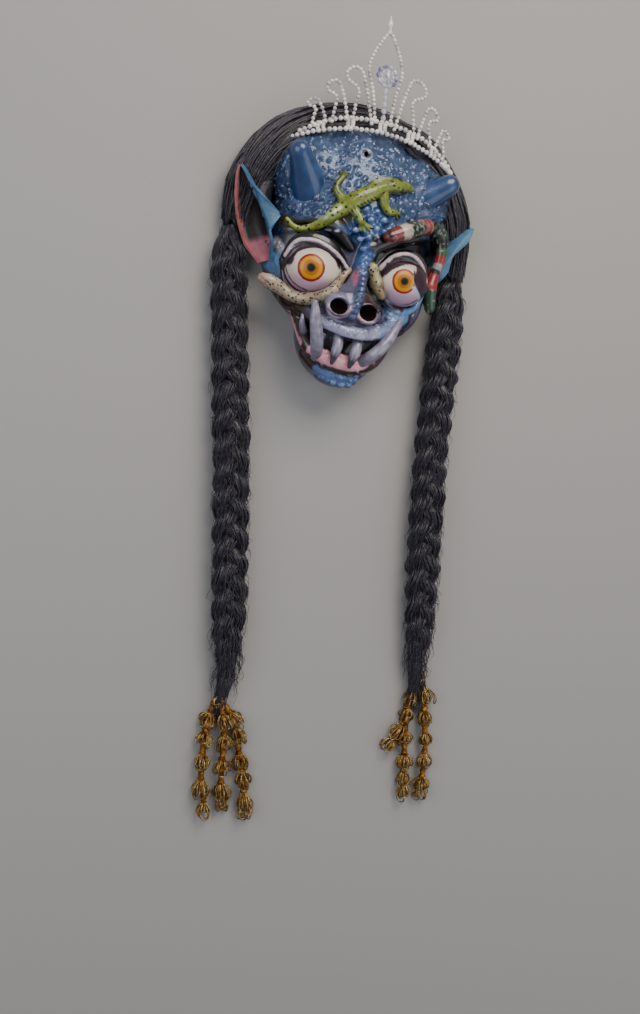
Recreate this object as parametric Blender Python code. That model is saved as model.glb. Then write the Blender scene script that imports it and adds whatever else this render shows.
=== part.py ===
"""Diablada mask: a papier-mache devil face with horns, ears, snakes, tiara, wig and two plaits.

The mask lies on its back. +Z is out of the face, +Y is the crown, +X is the viewer's right.
Every size below is in millimetres, measured from the middle of the wearer's head, level with the
bridge of the nose. The rim of the mask lies RIM_Z in front of that middle, and it is on the floor.
One empty carries all the pieces and moves them so that the whole object is centred on the floor.
"""
import math

import bmesh
import bpy
import numpy as np
from mathutils import Matrix, Vector

MM = 0.001

# The rim's height, and the middle of the whole object's outline on the floor
RIM_Z = 30.0
CENTRE_X = 33.0
CENTRE_Y = -190.0

# Wall of the face, and the gap between touching pieces
WALL = 7.0
GAP = 0.45

# Grain that fuses lumps into one skin, from the coarse head form to the small beads
FORM_GRAIN = 4.0
CLAY_GRAIN = 2.4
SMALL_GRAIN = 1.5
BEAD_GRAIN = 1.0

# Triangles that each modelled skin is thinned to, about
SHELL_FACES = 1600
CAVITY_FACES = 420
LIZARD_FACES = 360
SNAKE_FACES = 180
SNAKE_TAIL_FACES = 80
CORAL_FACES = 250
PENDANT_FACES = 260
WIG_FACES = 360
TASSEL_FACES = 200

# Face
EYE_RADII = (32.0, 27.0, 26.0)
LEFT_EYE = (-46.0, -25.0, 84.0)
RIGHT_EYE = (54.0, -14.0, 82.0)
EYE_BACK_Z = 77.0
NOSTRIL_RADII = (10.5, 8.5, 13.0)
LEFT_NOSTRIL = (-21.0, -64.0, 122.0)
RIGHT_NOSTRIL = (12.0, -64.0, 122.0)
SCREW_HOLE = (-13.0, 108.0)
SCREW_HOLE_RADIUS = 2.6

# Horns and ears
HORN_FLARE = 9.0
EAR_WALL = 3.0
EAR_HALF_WIDTH = 15.0

# Tiara
WIRE_RADIUS = 1.9
RING_RADIUS = 11.0
RING_HEIGHT = 49.0
TIARA_BEND = 215.0
TIARA_HALF_SPAN = 98.0
TIARA_ROW_STEP = 11.0
TIARA_DROOP = 19.0
TIARA_SKEW = 6.7
TIARA_FOOT = (2.0, 137.0, 87.0)
TIARA_LEAN = math.radians(7.0)

# Hair and tassels
BRAID_RADIUS = 20.5
PLAIT_STEP = 29.0
CORD_RADIUS = 4.5
THREAD_LOOPS = (10.0, 13.0, 7.5)

# Edges sharper than this stay sharp
SHARP = math.radians(40.0)


def material(name, colour, roughness, metallic=0.0):
    """A plain Principled material with the part's own colour."""
    made = bpy.data.materials.new(name)
    made.use_nodes = True
    shader = made.node_tree.nodes["Principled BSDF"]
    shader.inputs["Base Color"].default_value = (*colour, 1.0)
    shader.inputs["Roughness"].default_value = roughness
    shader.inputs["Metallic"].default_value = metallic
    made.diffuse_color = (*colour, 1.0)
    return made


def add_object(name, mesh, finish=None):
    """Put a mesh in the scene as a named object under the mask's own frame."""
    made = bpy.data.objects.new(name, mesh)
    bpy.context.collection.objects.link(made)
    made.parent = FRAME
    if finish:
        made.data.materials.clear()
        made.data.materials.append(finish)
    return made


def hide(tool):
    """Mark an object as a cutter or a guide."""
    tool.hide_render = True
    tool.display_type = "WIRE"
    return tool


def settle(made):
    """Turn an object's modifiers into its mesh."""
    bpy.context.view_layer.update()
    graph = bpy.context.evaluated_depsgraph_get()
    mesh = bpy.data.meshes.new_from_object(made.evaluated_get(graph))
    made.modifiers.clear()
    made.data = mesh
    return made


def cut(made, cutter, operation="DIFFERENCE"):
    """Cut one object by another, exactly."""
    boolean = made.modifiers.new("cut", "BOOLEAN")
    boolean.object = cutter
    boolean.operation = operation
    return made


def grown(made, gap=GAP):
    """A copy of an object, grown along its normals: the tool that leaves a gap around it."""
    tool = hide(add_object(made.name + "_grown", made.data.copy()))
    swell = tool.modifiers.new("swell", "DISPLACE")
    swell.strength = gap * MM
    swell.mid_level = 0.0
    return settle(tool)


def thin_out(made, faces):
    """Reduce a mesh to about so many triangles."""
    decimate = made.modifiers.new("thin", "DECIMATE")
    decimate.ratio = min(1.0, faces / (2.0 * len(made.data.polygons)))
    return settle(made)


def curve_through(points, count):
    """A smooth line through the points, read at equal steps. Each point may carry a radius."""
    points = np.asarray(points, float)
    padded = np.vstack([2 * points[0] - points[1], points, 2 * points[-1] - points[-2]])
    fine = []
    for a, b, c, d in zip(padded, padded[1:], padded[2:], padded[3:]):
        for t in np.linspace(0.0, 1.0, 24, endpoint=False):
            fine.append(0.5 * (2 * b + (c - a) * t + (2 * a - 5 * b + 4 * c - d) * t ** 2
                               + (3 * b - a - 3 * c + d) * t ** 3))
    fine.append(points[-1])
    fine = np.array(fine)
    steps = np.linalg.norm(np.diff(fine[:, :3], axis=0), axis=1)
    along = np.concatenate([[0.0], np.cumsum(steps)])
    wanted = np.linspace(0.0, along[-1], count)
    return np.stack([np.interp(wanted, along, fine[:, k]) for k in range(points.shape[1])], 1)


def frames_along(line, first_side=(0.0, 0.0, 1.0)):
    """Two cross directions at each point of a line, carried along it without a twist."""
    heading = np.gradient(line, axis=0)
    heading /= np.linalg.norm(heading, axis=1)[:, None]
    side = np.array(first_side, float)
    if abs(side @ heading[0]) > 0.95:
        side = np.array((1.0, 0.0, 0.0))
    sides, ups = [], []
    for direction in heading:
        side = side - direction * (side @ direction)
        side /= np.linalg.norm(side)
        sides.append(side)
        ups.append(np.cross(direction, side))
    return np.array(sides), np.array(ups)


def add_tube(bm, points, sides=10, step=4.0, width=None, round_ends=True):
    """A closed tube along smooth points of (x, y, z, radius), in millimetres.

    width(t, angle) may scale the radius at any place, with t from 0 to 1 along the tube.
    """
    points = np.asarray(points, float)
    length = np.linalg.norm(np.diff(points[:, :3], axis=0), axis=1).sum()
    count = max(3, int(round(length / step)) + 1)
    line = curve_through(points, count)
    centres, radii = line[:, :3], line[:, 3]
    across, upward = frames_along(centres)
    first, last = centres[0] - centres[1], centres[-1] - centres[-2]
    first, last = first / np.linalg.norm(first), last / np.linalg.norm(last)
    angles = np.linspace(0.0, 2 * math.pi, sides, endpoint=False)
    rings = []
    for k in range(count):
        t = k / (count - 1)
        scale = np.array([width(t, a) if width else 1.0 for a in angles])
        reach = radii[k] * scale
        rings.append(centres[k] + np.outer(np.cos(angles) * reach, across[k])
                     + np.outer(np.sin(angles) * reach, upward[k]))
    if round_ends:
        rings.insert(0, centres[0] + (rings[0] - centres[0]) * 0.72 + first * radii[0] * 0.62)
        rings.append(centres[-1] + (rings[-1] - centres[-1]) * 0.72 + last * radii[-1] * 0.62)
    loops = [[bm.verts.new(Vector(p) * MM) for p in ring] for ring in rings]
    for low, high in zip(loops, loops[1:]):
        for k in range(sides):
            j = (k + 1) % sides
            bm.faces.new((low[k], low[j], high[j], high[k]))
    nose = 0.92 if round_ends else 0.0
    for loop, middle, push in ((loops[0], centres[0], first * radii[0] * nose),
                               (loops[-1], centres[-1], last * radii[-1] * nose)):
        tip = bm.verts.new(Vector(middle + push) * MM)
        for k in range(sides):
            bm.faces.new((loop[k], loop[(k + 1) % sides], tip))


def add_ball(bm, centre, radii, turn=0.0, segments=24):
    """An ellipsoid, turned about Z, in millimetres."""
    place = Matrix.Translation(Vector(centre) * MM) @ Matrix.Rotation(turn, 4, "Z")
    scale = Matrix.Diagonal((*(Vector(radii) * MM), 1.0))
    bmesh.ops.create_uvsphere(bm, u_segments=segments, v_segments=segments * 2 // 3, radius=1.0,
                              matrix=place @ scale)


def add_box(bm, low, high):
    """A box between two corners, in millimetres."""
    low, high = np.array(low, float), np.array(high, float)
    place = Matrix.Translation(Vector((low + high) / 2) * MM)
    bmesh.ops.create_cube(bm, size=1.0, matrix=place @ Matrix.Diagonal((*((high - low) * MM), 1.0)))


def to_object(name, bm, finish=None):
    """Close a bmesh into an object with its faces pointing out."""
    bmesh.ops.recalc_face_normals(bm, faces=bm.faces)
    mesh = bpy.data.meshes.new(name)
    bm.to_mesh(mesh)
    bm.free()
    return add_object(name, mesh, finish)


def fuse(made, grain, smoothing=0):
    """Melt overlapping lumps into one skin and soften it."""
    remesh = made.modifiers.new("fuse", "REMESH")
    remesh.mode = "VOXEL"
    remesh.voxel_size = grain * MM
    if smoothing:
        soften = made.modifiers.new("soften", "SMOOTH")
        soften.iterations = smoothing
    return settle(made)


def ball_tool(name, centre, radii, turn=0.0, segments=20):
    """An ellipsoid cutter."""
    bm = bmesh.new()
    add_ball(bm, centre, radii, turn, segments)
    return hide(to_object(name, bm))


def flat_foot(made):
    """Press everything that would pass through the floor flat onto it."""
    for vertex in made.data.vertices:
        vertex.co.z = max(vertex.co.z, RIM_Z * MM)
    return made


def head_form():
    """The plain head: skull, cheeks, jaw and chin as fused ellipsoids."""
    bm = bmesh.new()
    add_ball(bm, (0, 52, 30), (98, 108, 74), segments=36)
    add_ball(bm, (-47, 80, 40), (58, 56, 52), segments=30)
    add_ball(bm, (52, 82, 40), (56, 57, 50), segments=30)
    add_ball(bm, (0, 5, 38), (97, 86, 58), segments=36)
    add_ball(bm, (5, -75, 44), (49, 60, 49), segments=30)
    add_ball(bm, (1, -112, 56), (27, 26, 28), segments=24)
    return fuse(to_object("head_form", bm), FORM_GRAIN, smoothing=14)


def add_brows(bm):
    """Raised brows and the knot of the frown between them."""
    add_tube(bm, [(-78, 20, 66, 7), (-62, 30, 84, 10), (-38, 24, 97, 11), (-14, 8, 103, 8)], step=6)
    add_tube(bm, [(16, 14, 103, 8), (40, 31, 96, 11), (66, 42, 78, 11), (88, 38, 52, 8)], step=6)
    add_ball(bm, (7, 24, 98), (15, 13, 13))
    add_ball(bm, (9, 10, 101), (11, 10, 10))


def add_eyelids(bm):
    """A mound under each eye, a heavy upper lid and a thin lower lid."""
    for eye in (LEFT_EYE, RIGHT_EYE):
        add_ball(bm, (eye[0], eye[1], eye[2] - 22), (37, 32, 30))
    add_tube(bm, [(-80, -24, 80, 4), (-71, -4, 93, 6), (-53, 4, 101, 6.5), (-34, -1, 101, 6),
                  (-19, -15, 97, 5), (-11, -32, 91, 4)], step=5)
    add_tube(bm, [(-80, -24, 80, 4), (-71, -45, 82, 4.5), (-50, -56, 86, 5), (-28, -50, 91, 5),
                  (-11, -32, 91, 4)], step=5)
    add_tube(bm, [(27, -17, 93, 4), (36, 1, 98, 5.5), (54, 11, 99, 6.5), (74, 7, 89, 6),
                  (88, -13, 74, 4)], step=5)
    add_tube(bm, [(27, -17, 93, 4), (36, -38, 92, 5), (57, -48, 87, 5), (79, -39, 77, 4.5),
                  (88, -13, 74, 4)], step=5)


def add_nose(bm):
    """Bridge, snout with two nostril rolls, and the scaly ridge down the middle."""
    add_tube(bm, [(7, 8, 96, 11), (3, -20, 97, 10), (-3, -45, 100, 14), (-5, -62, 102, 18)], step=6)
    add_ball(bm, (-5, -58, 98), (35, 24, 24))
    add_ball(bm, (-21, -62, 112), (15.5, 14, 13))
    add_ball(bm, (12, -62, 112), (15.5, 14, 13))
    scales = 9
    for k in range(scales):
        t = k / (scales - 1)
        add_ball(bm, (3 - 8 * t, -22 - 50 * t, 106 + 17 * math.sin(2.2 * t)), (5.0, 4.6, 4.0), segments=12)


def add_mouth(bm):
    """Upper lip, gum, lower lip, chin and the flesh of the cheeks around the mouth."""
    add_tube(bm, [(-52, -66, 78, 8), (-32, -80, 99, 10), (0, -87, 106, 10.5), (33, -80, 99, 10),
                  (60, -62, 78, 8)], step=6)
    add_tube(bm, [(-52, -72, 66, 6), (-33, -108, 84, 8.5), (0, -118, 91, 9.5), (36, -109, 82, 9),
                  (62, -70, 62, 7)], step=6)
    add_tube(bm, [(-34, -112, 66, 7), (-19, -125, 78, 8), (2, -128, 84, 8), (22, -125, 78, 8),
                  (42, -106, 64, 7)], step=6)
    add_ball(bm, (2, -131, 74), (25, 11, 13))
    add_ball(bm, (-54, -54, 62), (20, 17, 18))
    add_ball(bm, (56, -50, 66), (24, 20, 20))
    add_tube(bm, [(88, -20, 60, 7), (84, -44, 58, 7), (68, -64, 66, 7)], step=6)


def mouth_tool():
    """The crescent between the upper lip and the gum."""
    bm = bmesh.new()
    add_tube(bm, [(-55, -72, 78, 3), (-34, -93, 101, 8), (0, -101, 107, 10), (35, -92, 101, 8),
                  (60, -68, 80, 3)], sides=12, step=9)
    return hide(to_object("mouth_tool", bm))


def head_plug(form):
    """The whole face as one filled lump, before it is hollowed."""
    bm = bmesh.new()
    bm.from_mesh(form.data)
    add_brows(bm)
    add_eyelids(bm)
    add_nose(bm)
    add_mouth(bm)
    plug = fuse(to_object("head_plug", bm), CLAY_GRAIN, smoothing=3)
    for name, centre in (("left_nostril", LEFT_NOSTRIL), ("right_nostril", RIGHT_NOSTRIL)):
        cut(plug, ball_tool(name + "_tool", centre, NOSTRIL_RADII, segments=16))
    cut(plug, mouth_tool())
    settle(plug)
    return hide(thin_out(plug, SHELL_FACES))


def floor_tool():
    """Everything below the floor."""
    bm = bmesh.new()
    add_box(bm, (-400, -800, -300), (400, 400, RIM_Z))
    return hide(to_object("floor_tool", bm))


def eye_ball(name, centre, spare, finish=None):
    """The front of an ellipsoid, flat at the back, larger by the spare all round."""
    bm = bmesh.new()
    add_ball(bm, centre, [r + spare for r in EYE_RADII], segments=16)
    back = (EYE_BACK_Z - spare) * MM
    parts = bm.verts[:] + bm.edges[:] + bm.faces[:]
    cutting = bmesh.ops.bisect_plane(bm, geom=parts, plane_co=(0, 0, back), plane_no=(0, 0, -1),
                                     clear_outer=True)
    rim = [part for part in cutting["geom_cut"] if isinstance(part, bmesh.types.BMEdge)]
    bmesh.ops.edgeloop_fill(bm, edges=rim)
    return to_object(name, bm, finish)


def mask_shell(plug, form):
    """The filled face, hollowed by the form shrunk by the wall, with eye sockets and screw hole."""
    cavity = hide(add_object("cavity_tool", form.data.copy()))
    shrink = cavity.modifiers.new("shrink", "DISPLACE")
    shrink.strength = -WALL * MM
    shrink.mid_level = 0.0
    settle(cavity)
    thin_out(cavity, CAVITY_FACES)
    shell = add_object("mask_shell", plug.data.copy(), BLUE)
    cut(shell, cavity)
    cut(shell, FLOOR)
    for name, centre in (("left_eye", LEFT_EYE), ("right_eye", RIGHT_EYE)):
        cut(shell, hide(eye_ball(name + "_socket", centre, GAP)))
    bm = bmesh.new()
    x, y = SCREW_HOLE
    place = Matrix.Translation(Vector((x, y, 90)) * MM)
    bmesh.ops.create_cone(bm, cap_ends=True, segments=12, radius1=SCREW_HOLE_RADIUS * MM,
                          radius2=SCREW_HOLE_RADIUS * MM, depth=60 * MM, matrix=place)
    cut(shell, hide(to_object("screw_hole_tool", bm)))
    return settle(shell)


def height_on(surface, x, y):
    """How high the surface stands over a place on the floor, in millimetres."""
    hit, point, _, _ = surface.ray_cast(Vector((x, y, 400)) * MM, Vector((0, 0, -1)))
    return point.z / MM if hit else 40.0


def laid_on(surface, points, lowest=40.0, step=6.0):
    """A smooth line through points of (x, y, lift, radius), laid on a surface like a soft roll."""
    length = sum(math.dist(a[:2], b[:2]) for a, b in zip(points, points[1:]))
    line = curve_through(points, max(4, int(length / step)))
    line[:, 2] += [max(lowest, height_on(surface, x, y)) for x, y in line[:, :2]]
    for _ in range(2):
        line[1:-1, 2] = (line[:-2, 2] + 2 * line[1:-1, 2] + line[2:, 2]) / 4
    return line


def stick_on(made, *tools):
    """Cut a stuck-on piece by everything that it touches."""
    for tool in tools:
        cut(made, tool)
    return settle(made)


def horn(name, foot, tip, tip_radius, tools):
    """A short blunt horn: a tapered round body that sits on a flared root."""
    foot, tip = np.array(foot, float), np.array(tip, float)
    points = []
    for t in (0.0, 0.2, 0.5, 0.8, 1.0):
        points.append((*(foot + (tip - foot) * t), tip_radius + HORN_FLARE * (1 - t) ** 1.6))
    bm = bmesh.new()
    add_tube(bm, points, sides=12, step=9)
    return stick_on(to_object(name, bm, BLUE), *tools)


def ear_axes(lobe, tip, side, turn):
    """The ear's own directions: along it, out of its opening, and across it towards the face."""
    along = (tip - lobe) / np.linalg.norm(tip - lobe)
    opening = np.array((turn * side, 0.0, 1.0))
    opening -= along * (opening @ along)
    opening /= np.linalg.norm(opening)
    inward = np.cross(along, opening) * -side
    return opening, inward


def web_share(t):
    """How much of its reach the fold of the ear has: nothing near the point, all of it at the lobe."""
    return min(1.0, max(0.0, (0.84 - t) / 0.26)) ** 1.3


def ear_half_width(t):
    """Half the ear's width from its lobe, t = 0, to its point, t = 1."""
    return EAR_HALF_WIDTH * (math.sin(math.pi * (0.20 + 0.80 * t)) ** 0.7 + 0.04)


def ear(name, lobe, tip, side, turn, reach, tools):
    """A pointed leaf bent into a trough along its length, with a fold that runs to the head."""
    lobe, tip = np.array(lobe, float), np.array(tip, float)
    opening, inward = ear_axes(lobe, tip, side, turn)
    to_head = np.array((-side, 0.0, -0.25))
    rows, columns = 9, 7
    bm = bmesh.new()
    grid = []
    for k in range(rows):
        t = k / (rows - 1)
        half = ear_half_width(t)
        centre = lobe + (tip - lobe) * t - inward * 2.0 * math.sin(math.pi * t)
        row = []
        for j in range(columns):
            angle = math.radians(-80 + 205 * j / (columns - 1))
            place = centre + inward * half * math.sin(angle) - opening * 1.1 * half * math.cos(angle)
            if j == columns - 1:
                place += to_head * reach * web_share(t)
            row.append(bm.verts.new(Vector(place) * MM))
        grid.append(row)
    for low, high in zip(grid, grid[1:]):
        for j in range(columns - 1):
            bm.faces.new((low[j], low[j + 1], high[j + 1], high[j]))
    made = to_object(name, bm, BLUE)
    thick = made.modifiers.new("thick", "SOLIDIFY")
    thick.thickness = EAR_WALL * MM
    thick.offset = 0.0
    settle(made)
    return stick_on(made, *tools)


def room_for(made):
    """The space that a hollow piece takes in the hair: its convex hull, with a gap."""
    bm = bmesh.new()
    for vertex in made.data.vertices:
        bm.verts.new(vertex.co)
    hull = bmesh.ops.convex_hull(bm, input=bm.verts[:])
    spare = {part for part in hull["geom_interior"] + hull["geom_unused"]
             if isinstance(part, bmesh.types.BMVert)}
    bmesh.ops.delete(bm, geom=list(spare), context="VERTS")
    return grown(hide(to_object(made.name + "_hull", bm)), 2 * GAP)


def creature(name, tubes, faces, finish, tools):
    """A small animal rolled from clay: tubes of (x, y, z, radius) points fused into one."""
    bm = bmesh.new()
    for points in tubes:
        add_tube(bm, points, sides=12, step=4)
    made = thin_out(fuse(to_object(name, bm, finish), SMALL_GRAIN, smoothing=1), faces)
    made.data.materials.clear()
    made.data.materials.append(finish)
    return stick_on(made, *tools)


def tooth(name, points, tools):
    """A curved tooth that tapers to a blunt point."""
    bm = bmesh.new()
    add_tube(bm, points, sides=7, step=8)
    return stick_on(to_object(name, bm, IVORY), *tools)


def tiara_place(u, v):
    """A place on the tiara: u along the bent row, v up from its lower row."""
    angle = u / TIARA_BEND
    x = TIARA_BEND * math.sin(angle)
    back = TIARA_BEND * (1.0 - math.cos(angle))
    end = u / TIARA_HALF_SPAN
    y = v - TIARA_DROOP * end ** 2 - TIARA_SKEW * end
    c, s = math.cos(TIARA_LEAN), math.sin(TIARA_LEAN)
    return np.array((TIARA_FOOT[0] + c * x - s * y, TIARA_FOOT[1] + s * x + c * y,
                     TIARA_FOOT[2] - back + 0.05 * v))


# One hairpin loop of the tiara, for a loop one unit wide and one unit high
LOOP = ((0.0, -0.06), (0.2, 0.45), (0.43, 0.88), (0.59, 0.98), (0.76, 1.0), (0.93, 0.95), (1.0, 0.86),
        (0.92, 0.75), (0.62, 0.62), (0.54, 0.50), (0.62, 0.25), (0.68, -0.06))
# Each loop's foot along the row, its width and its height; a negative width leans to the left
LOOPS = ((-13.0, -31.0, 54.0), (-39.0, -25.0, 40.0), (-63.0, -21.0, 24.0),
         (14.0, 36.0, 57.0), (43.0, 26.0, 38.0), (68.0, 20.0, 26.0))
DROP = ((-9.0, -0.5), (-14.0, 30.0), (-20.0, 52.0), (-18.0, 66.0), (-10.0, 81.0), (0.0, 94.0),
        (9.0, 82.0), (16.0, 66.0), (17.5, 52.0), (12.0, 30.0), (8.0, -0.5))
POSTS = (-68.0, -36.0, 0.0, 34.0, 66.0)


def tiara(tools):
    """Two rows, five posts, six hairpin loops, the drop and its finial, joined into one."""
    row = TIARA_ROW_STEP
    lines = []
    lower = [tiara_place(u, 0.0) for u in np.linspace(-TIARA_HALF_SPAN, TIARA_HALF_SPAN, 21)]
    upper_half = TIARA_HALF_SPAN - 8
    upper = [tiara_place(u, row * min(1.0, 1.6 * (1 - abs(u) / (upper_half + 6)) + 0.25))
             for u in np.linspace(-upper_half, upper_half, 19)]
    lines += [lower, upper]
    lines += [[tiara_place(u, v) for v in (-0.5, row * 0.5, row + 0.5)] for u in POSTS]
    for foot, width, height in LOOPS:
        lines.append([tiara_place(foot + width * a, row + height * b) for a, b in LOOP])
    lines.append([tiara_place(u, row + v) for u, v in DROP])
    finial = [tiara_place(-0.5, row + v) for v in (92, 98, 104, 111)]
    joined = None
    for number, line in enumerate(lines + [finial]):
        points = [(*place, WIRE_RADIUS) for place in line]
        if number == len(lines):
            points = [(*p, r) for p, r in zip(finial, (2.6, 3.0, 2.8, 2.4))]
        bm = bmesh.new()
        add_tube(bm, points, sides=4, step=9.5, round_ends=False)
        wire = to_object(f"tiara_line_{number}", bm)
        if joined is None:
            joined = wire
            continue
        cut(joined, hide(wire), "UNION")
    settle(joined)
    joined.name = "tiara"
    joined.data.materials.clear()
    joined.data.materials.append(PEARL)
    return stick_on(joined, *tools)


def tiara_pendant(tools):
    """The crystal ring with a long crystal across it, on a stem of three crystals."""
    bm = bmesh.new()
    middle = TIARA_ROW_STEP + RING_HEIGHT
    turns = np.linspace(0.0, 2 * math.pi, 17)
    ring = [(*tiara_place(1 + RING_RADIUS * math.sin(a), middle + RING_RADIUS * math.cos(a)), 2.6)
            for a in turns]
    add_tube(bm, ring, sides=10, step=3, round_ends=False)
    long_crystal = [(*tiara_place(1, middle + v), r) for v, r in ((9, 1.5), (0, 3.2), (-11, 1.5))]
    add_tube(bm, long_crystal, sides=8, step=3)
    for low in (13.0, 23.0, 33.0):
        crystal = [(*tiara_place(0, low + v), r) for v, r in ((0, 1.6), (6, 3.2), (12, 1.6))]
        add_tube(bm, crystal, sides=8, step=3)
    made = thin_out(fuse(to_object("tiara_pendant", bm), BEAD_GRAIN), PENDANT_FACES)
    made.data.materials.append(CRYSTAL)
    return stick_on(made, *tools)


def wig(tools):
    """Thick hair around the sides and crown, lying on the floor."""
    bm = bmesh.new()
    rim = [(-130, 4, 38, 10), (-129, 34, 42, 17), (-120, 74, 44, 21), (-96, 112, 45, 22),
           (-58, 138, 46, 22), (-8, 150, 46, 22), (42, 146, 46, 22), (84, 120, 45, 22),
           (112, 84, 44, 20), (124, 52, 42, 16), (126, 30, 38, 10)]
    add_tube(bm, rim, sides=16, step=8)
    add_tube(bm, [(x * 0.86, y * 0.86 + 6, 44, 17) for x, y, _, _ in rim[1:-1]], sides=12, step=9)
    locks = 15
    line = curve_through(rim, locks)
    for k, (x, y, z, radius) in enumerate(line[1:-1]):
        swing = 1.0 if k % 2 else 0.4
        add_ball(bm, (x * 1.03, y * 1.03, z + 4 * swing), (radius * 0.8, radius * 0.55, radius * 0.8),
                 turn=math.atan2(y, x), segments=14)
    made = thin_out(fuse(to_object("wig", bm), FORM_GRAIN, smoothing=2), WIG_FACES)
    made.data.materials.append(HAIR)
    cut(made, FLOOR)
    return stick_on(made, *tools)


def plait_width(turns):
    """The outline of a plait: strands swell on one side and then on the other."""
    def width(t, angle):
        phase = 2 * math.pi * turns * t
        lobes = math.cos(angle) * math.sin(phase)
        crossings = abs(math.sin(angle)) * math.cos(2 * phase)
        return 0.90 + 0.12 * lobes + 0.08 * crossings
    return width


def braid(name, route, tools):
    """A plait along its route, pointed where it starts and brushed out where it ends."""
    bm = bmesh.new()
    length = sum(math.dist(a[:2], b[:2]) for a, b in zip(route, route[1:]))
    add_tube(bm, route, sides=7, step=13.5, width=plait_width(length / PLAIT_STEP / 2))
    made = flat_foot(to_object(name, bm, HAIR))
    return stick_on(made, *tools)


def tassel(name, knot, ends, tools):
    """A knot with hanging cords, each with three tiers of thread loops."""
    bm = bmesh.new()
    add_ball(bm, knot, (11, 11, 8), segments=14)
    for end in ends:
        knot_v, end_v = np.array(knot, float), np.array((*end, RIM_Z + 7.0))
        for t in (0.32, 0.62, 0.93):
            place = knot_v + (end_v - knot_v) * t
            add_ball(bm, place, THREAD_LOOPS, segments=14)
        cord = [(*(knot_v + (end_v - knot_v) * t), CORD_RADIUS) for t in (0.0, 0.3, 0.6, 0.95)]
        add_tube(bm, cord, sides=10, step=8)
    made = thin_out(fuse(to_object(name, bm), CLAY_GRAIN, smoothing=1), TASSEL_FACES)
    made.data.materials.append(GOLD)
    return stick_on(flat_foot(made), *tools)


for old in list(bpy.data.objects):
    bpy.data.objects.remove(old)

FRAME = bpy.data.objects.new("mask_frame", None)
bpy.context.collection.objects.link(FRAME)
FRAME.location = Vector((-CENTRE_X, -CENTRE_Y, -RIM_Z)) * MM

BLUE = material("blue_enamel", (0.05, 0.13, 0.32), 0.3)
EYE_PAINT = material("eye_enamel", (0.80, 0.55, 0.12), 0.2)
LIZARD_PAINT = material("lizard_enamel", (0.35, 0.42, 0.06), 0.35)
SPOTTED_PAINT = material("spotted_enamel", (0.60, 0.45, 0.28), 0.4)
CORAL_PAINT = material("coral_enamel", (0.45, 0.06, 0.05), 0.35)
IVORY = material("tooth_enamel", (0.32, 0.29, 0.38), 0.3)
PEARL = material("pearl_beads", (0.75, 0.74, 0.74), 0.25)
CRYSTAL = material("crystal_beads", (0.70, 0.68, 0.85), 0.1)
HAIR = material("black_hair", (0.02, 0.018, 0.025), 0.6)
GOLD = material("gold_thread", (0.45, 0.22, 0.04), 0.4, 0.6)

FLOOR = floor_tool()
FORM = hide(head_form())
PLUG = head_plug(FORM)
PLUG_GROWN = grown(PLUG)
SHELL = mask_shell(PLUG, FORM)

left_eye = eye_ball("left_eye", LEFT_EYE, 0.0, EYE_PAINT)
right_eye = eye_ball("right_eye", RIGHT_EYE, 0.0, EYE_PAINT)
EYE_TOOLS = [hide(eye_ball(f"{side}_eye_grown", centre, GAP))
             for side, centre in (("left", LEFT_EYE), ("right", RIGHT_EYE))]
FACE_TOOLS = (PLUG_GROWN, *EYE_TOOLS)

left_horn = horn("left_horn", (-60, 60, 68), (-86, 88, 102), 15.5, FACE_TOOLS)
right_horn = horn("right_horn", (58, 78, 66), (90, 103, 86), 13.0, FACE_TOOLS)
HORN_TOOLS = [grown(left_horn), grown(right_horn)]

bpy.context.view_layer.update()
CORAL_BODY = [*laid_on(PLUG, [(22, 22, 5, 6), (42, 34, 5, 8), (62, 46, 5, 8)]),
              (80, 54, 78, 8), (95, 50, 74, 8), (101, 30, 72, 7.5), (98, 8, 70, 7.5), (96, -12, 68, 8),
              (102, -30, 64, 5.5)]
coral_snake = creature("coral_snake", [CORAL_BODY], CORAL_FACES, CORAL_PAINT, (*FACE_TOOLS, *HORN_TOOLS))

CORAL_TOOL = grown(coral_snake)

LEFT_EAR = ((-97, -18, 58), (-141, 67, 70), -1, 0.45, 30.0)
RIGHT_EAR = ((105, -2, 50), (139, 71, 60), 1, 2.0, 8.0)
left_ear = ear("left_ear", *LEFT_EAR, FACE_TOOLS)
right_ear = ear("right_ear", *RIGHT_EAR, (*FACE_TOOLS, CORAL_TOOL))
EAR_TOOLS = [room_for(left_ear), room_for(right_ear)]

left_tusk = tooth("left_tusk", [(-27, -116, 88, 5.5), (-34, -102, 106, 6.5), (-42, -84, 115, 5.0),
                                (-47, -67, 118, 2.4)], FACE_TOOLS)
right_tusk = tooth("right_tusk", [(20, -114, 90, 5.5), (34, -100, 106, 6.5), (46, -80, 108, 5.0),
                                  (54, -62, 104, 2.4)], FACE_TOOLS)
left_fang = tooth("left_fang", [(-10, -92, 102, 5.0), (-11, -106, 106, 5.0), (-13, -121, 104, 2.0)],
                  FACE_TOOLS)
right_fang = tooth("right_fang", [(12, -92, 102, 5.0), (10, -106, 106, 5.0), (7, -121, 104, 2.0)],
                   FACE_TOOLS)
left_side_tooth = tooth("left_side_tooth", [(-44, -92, 84, 4.0), (-49, -84, 90, 3.4), (-50, -76, 91, 1.8)],
                        FACE_TOOLS)
TOOTH_TOOLS = [grown(left_tusk), grown(left_side_tooth)]

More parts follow.
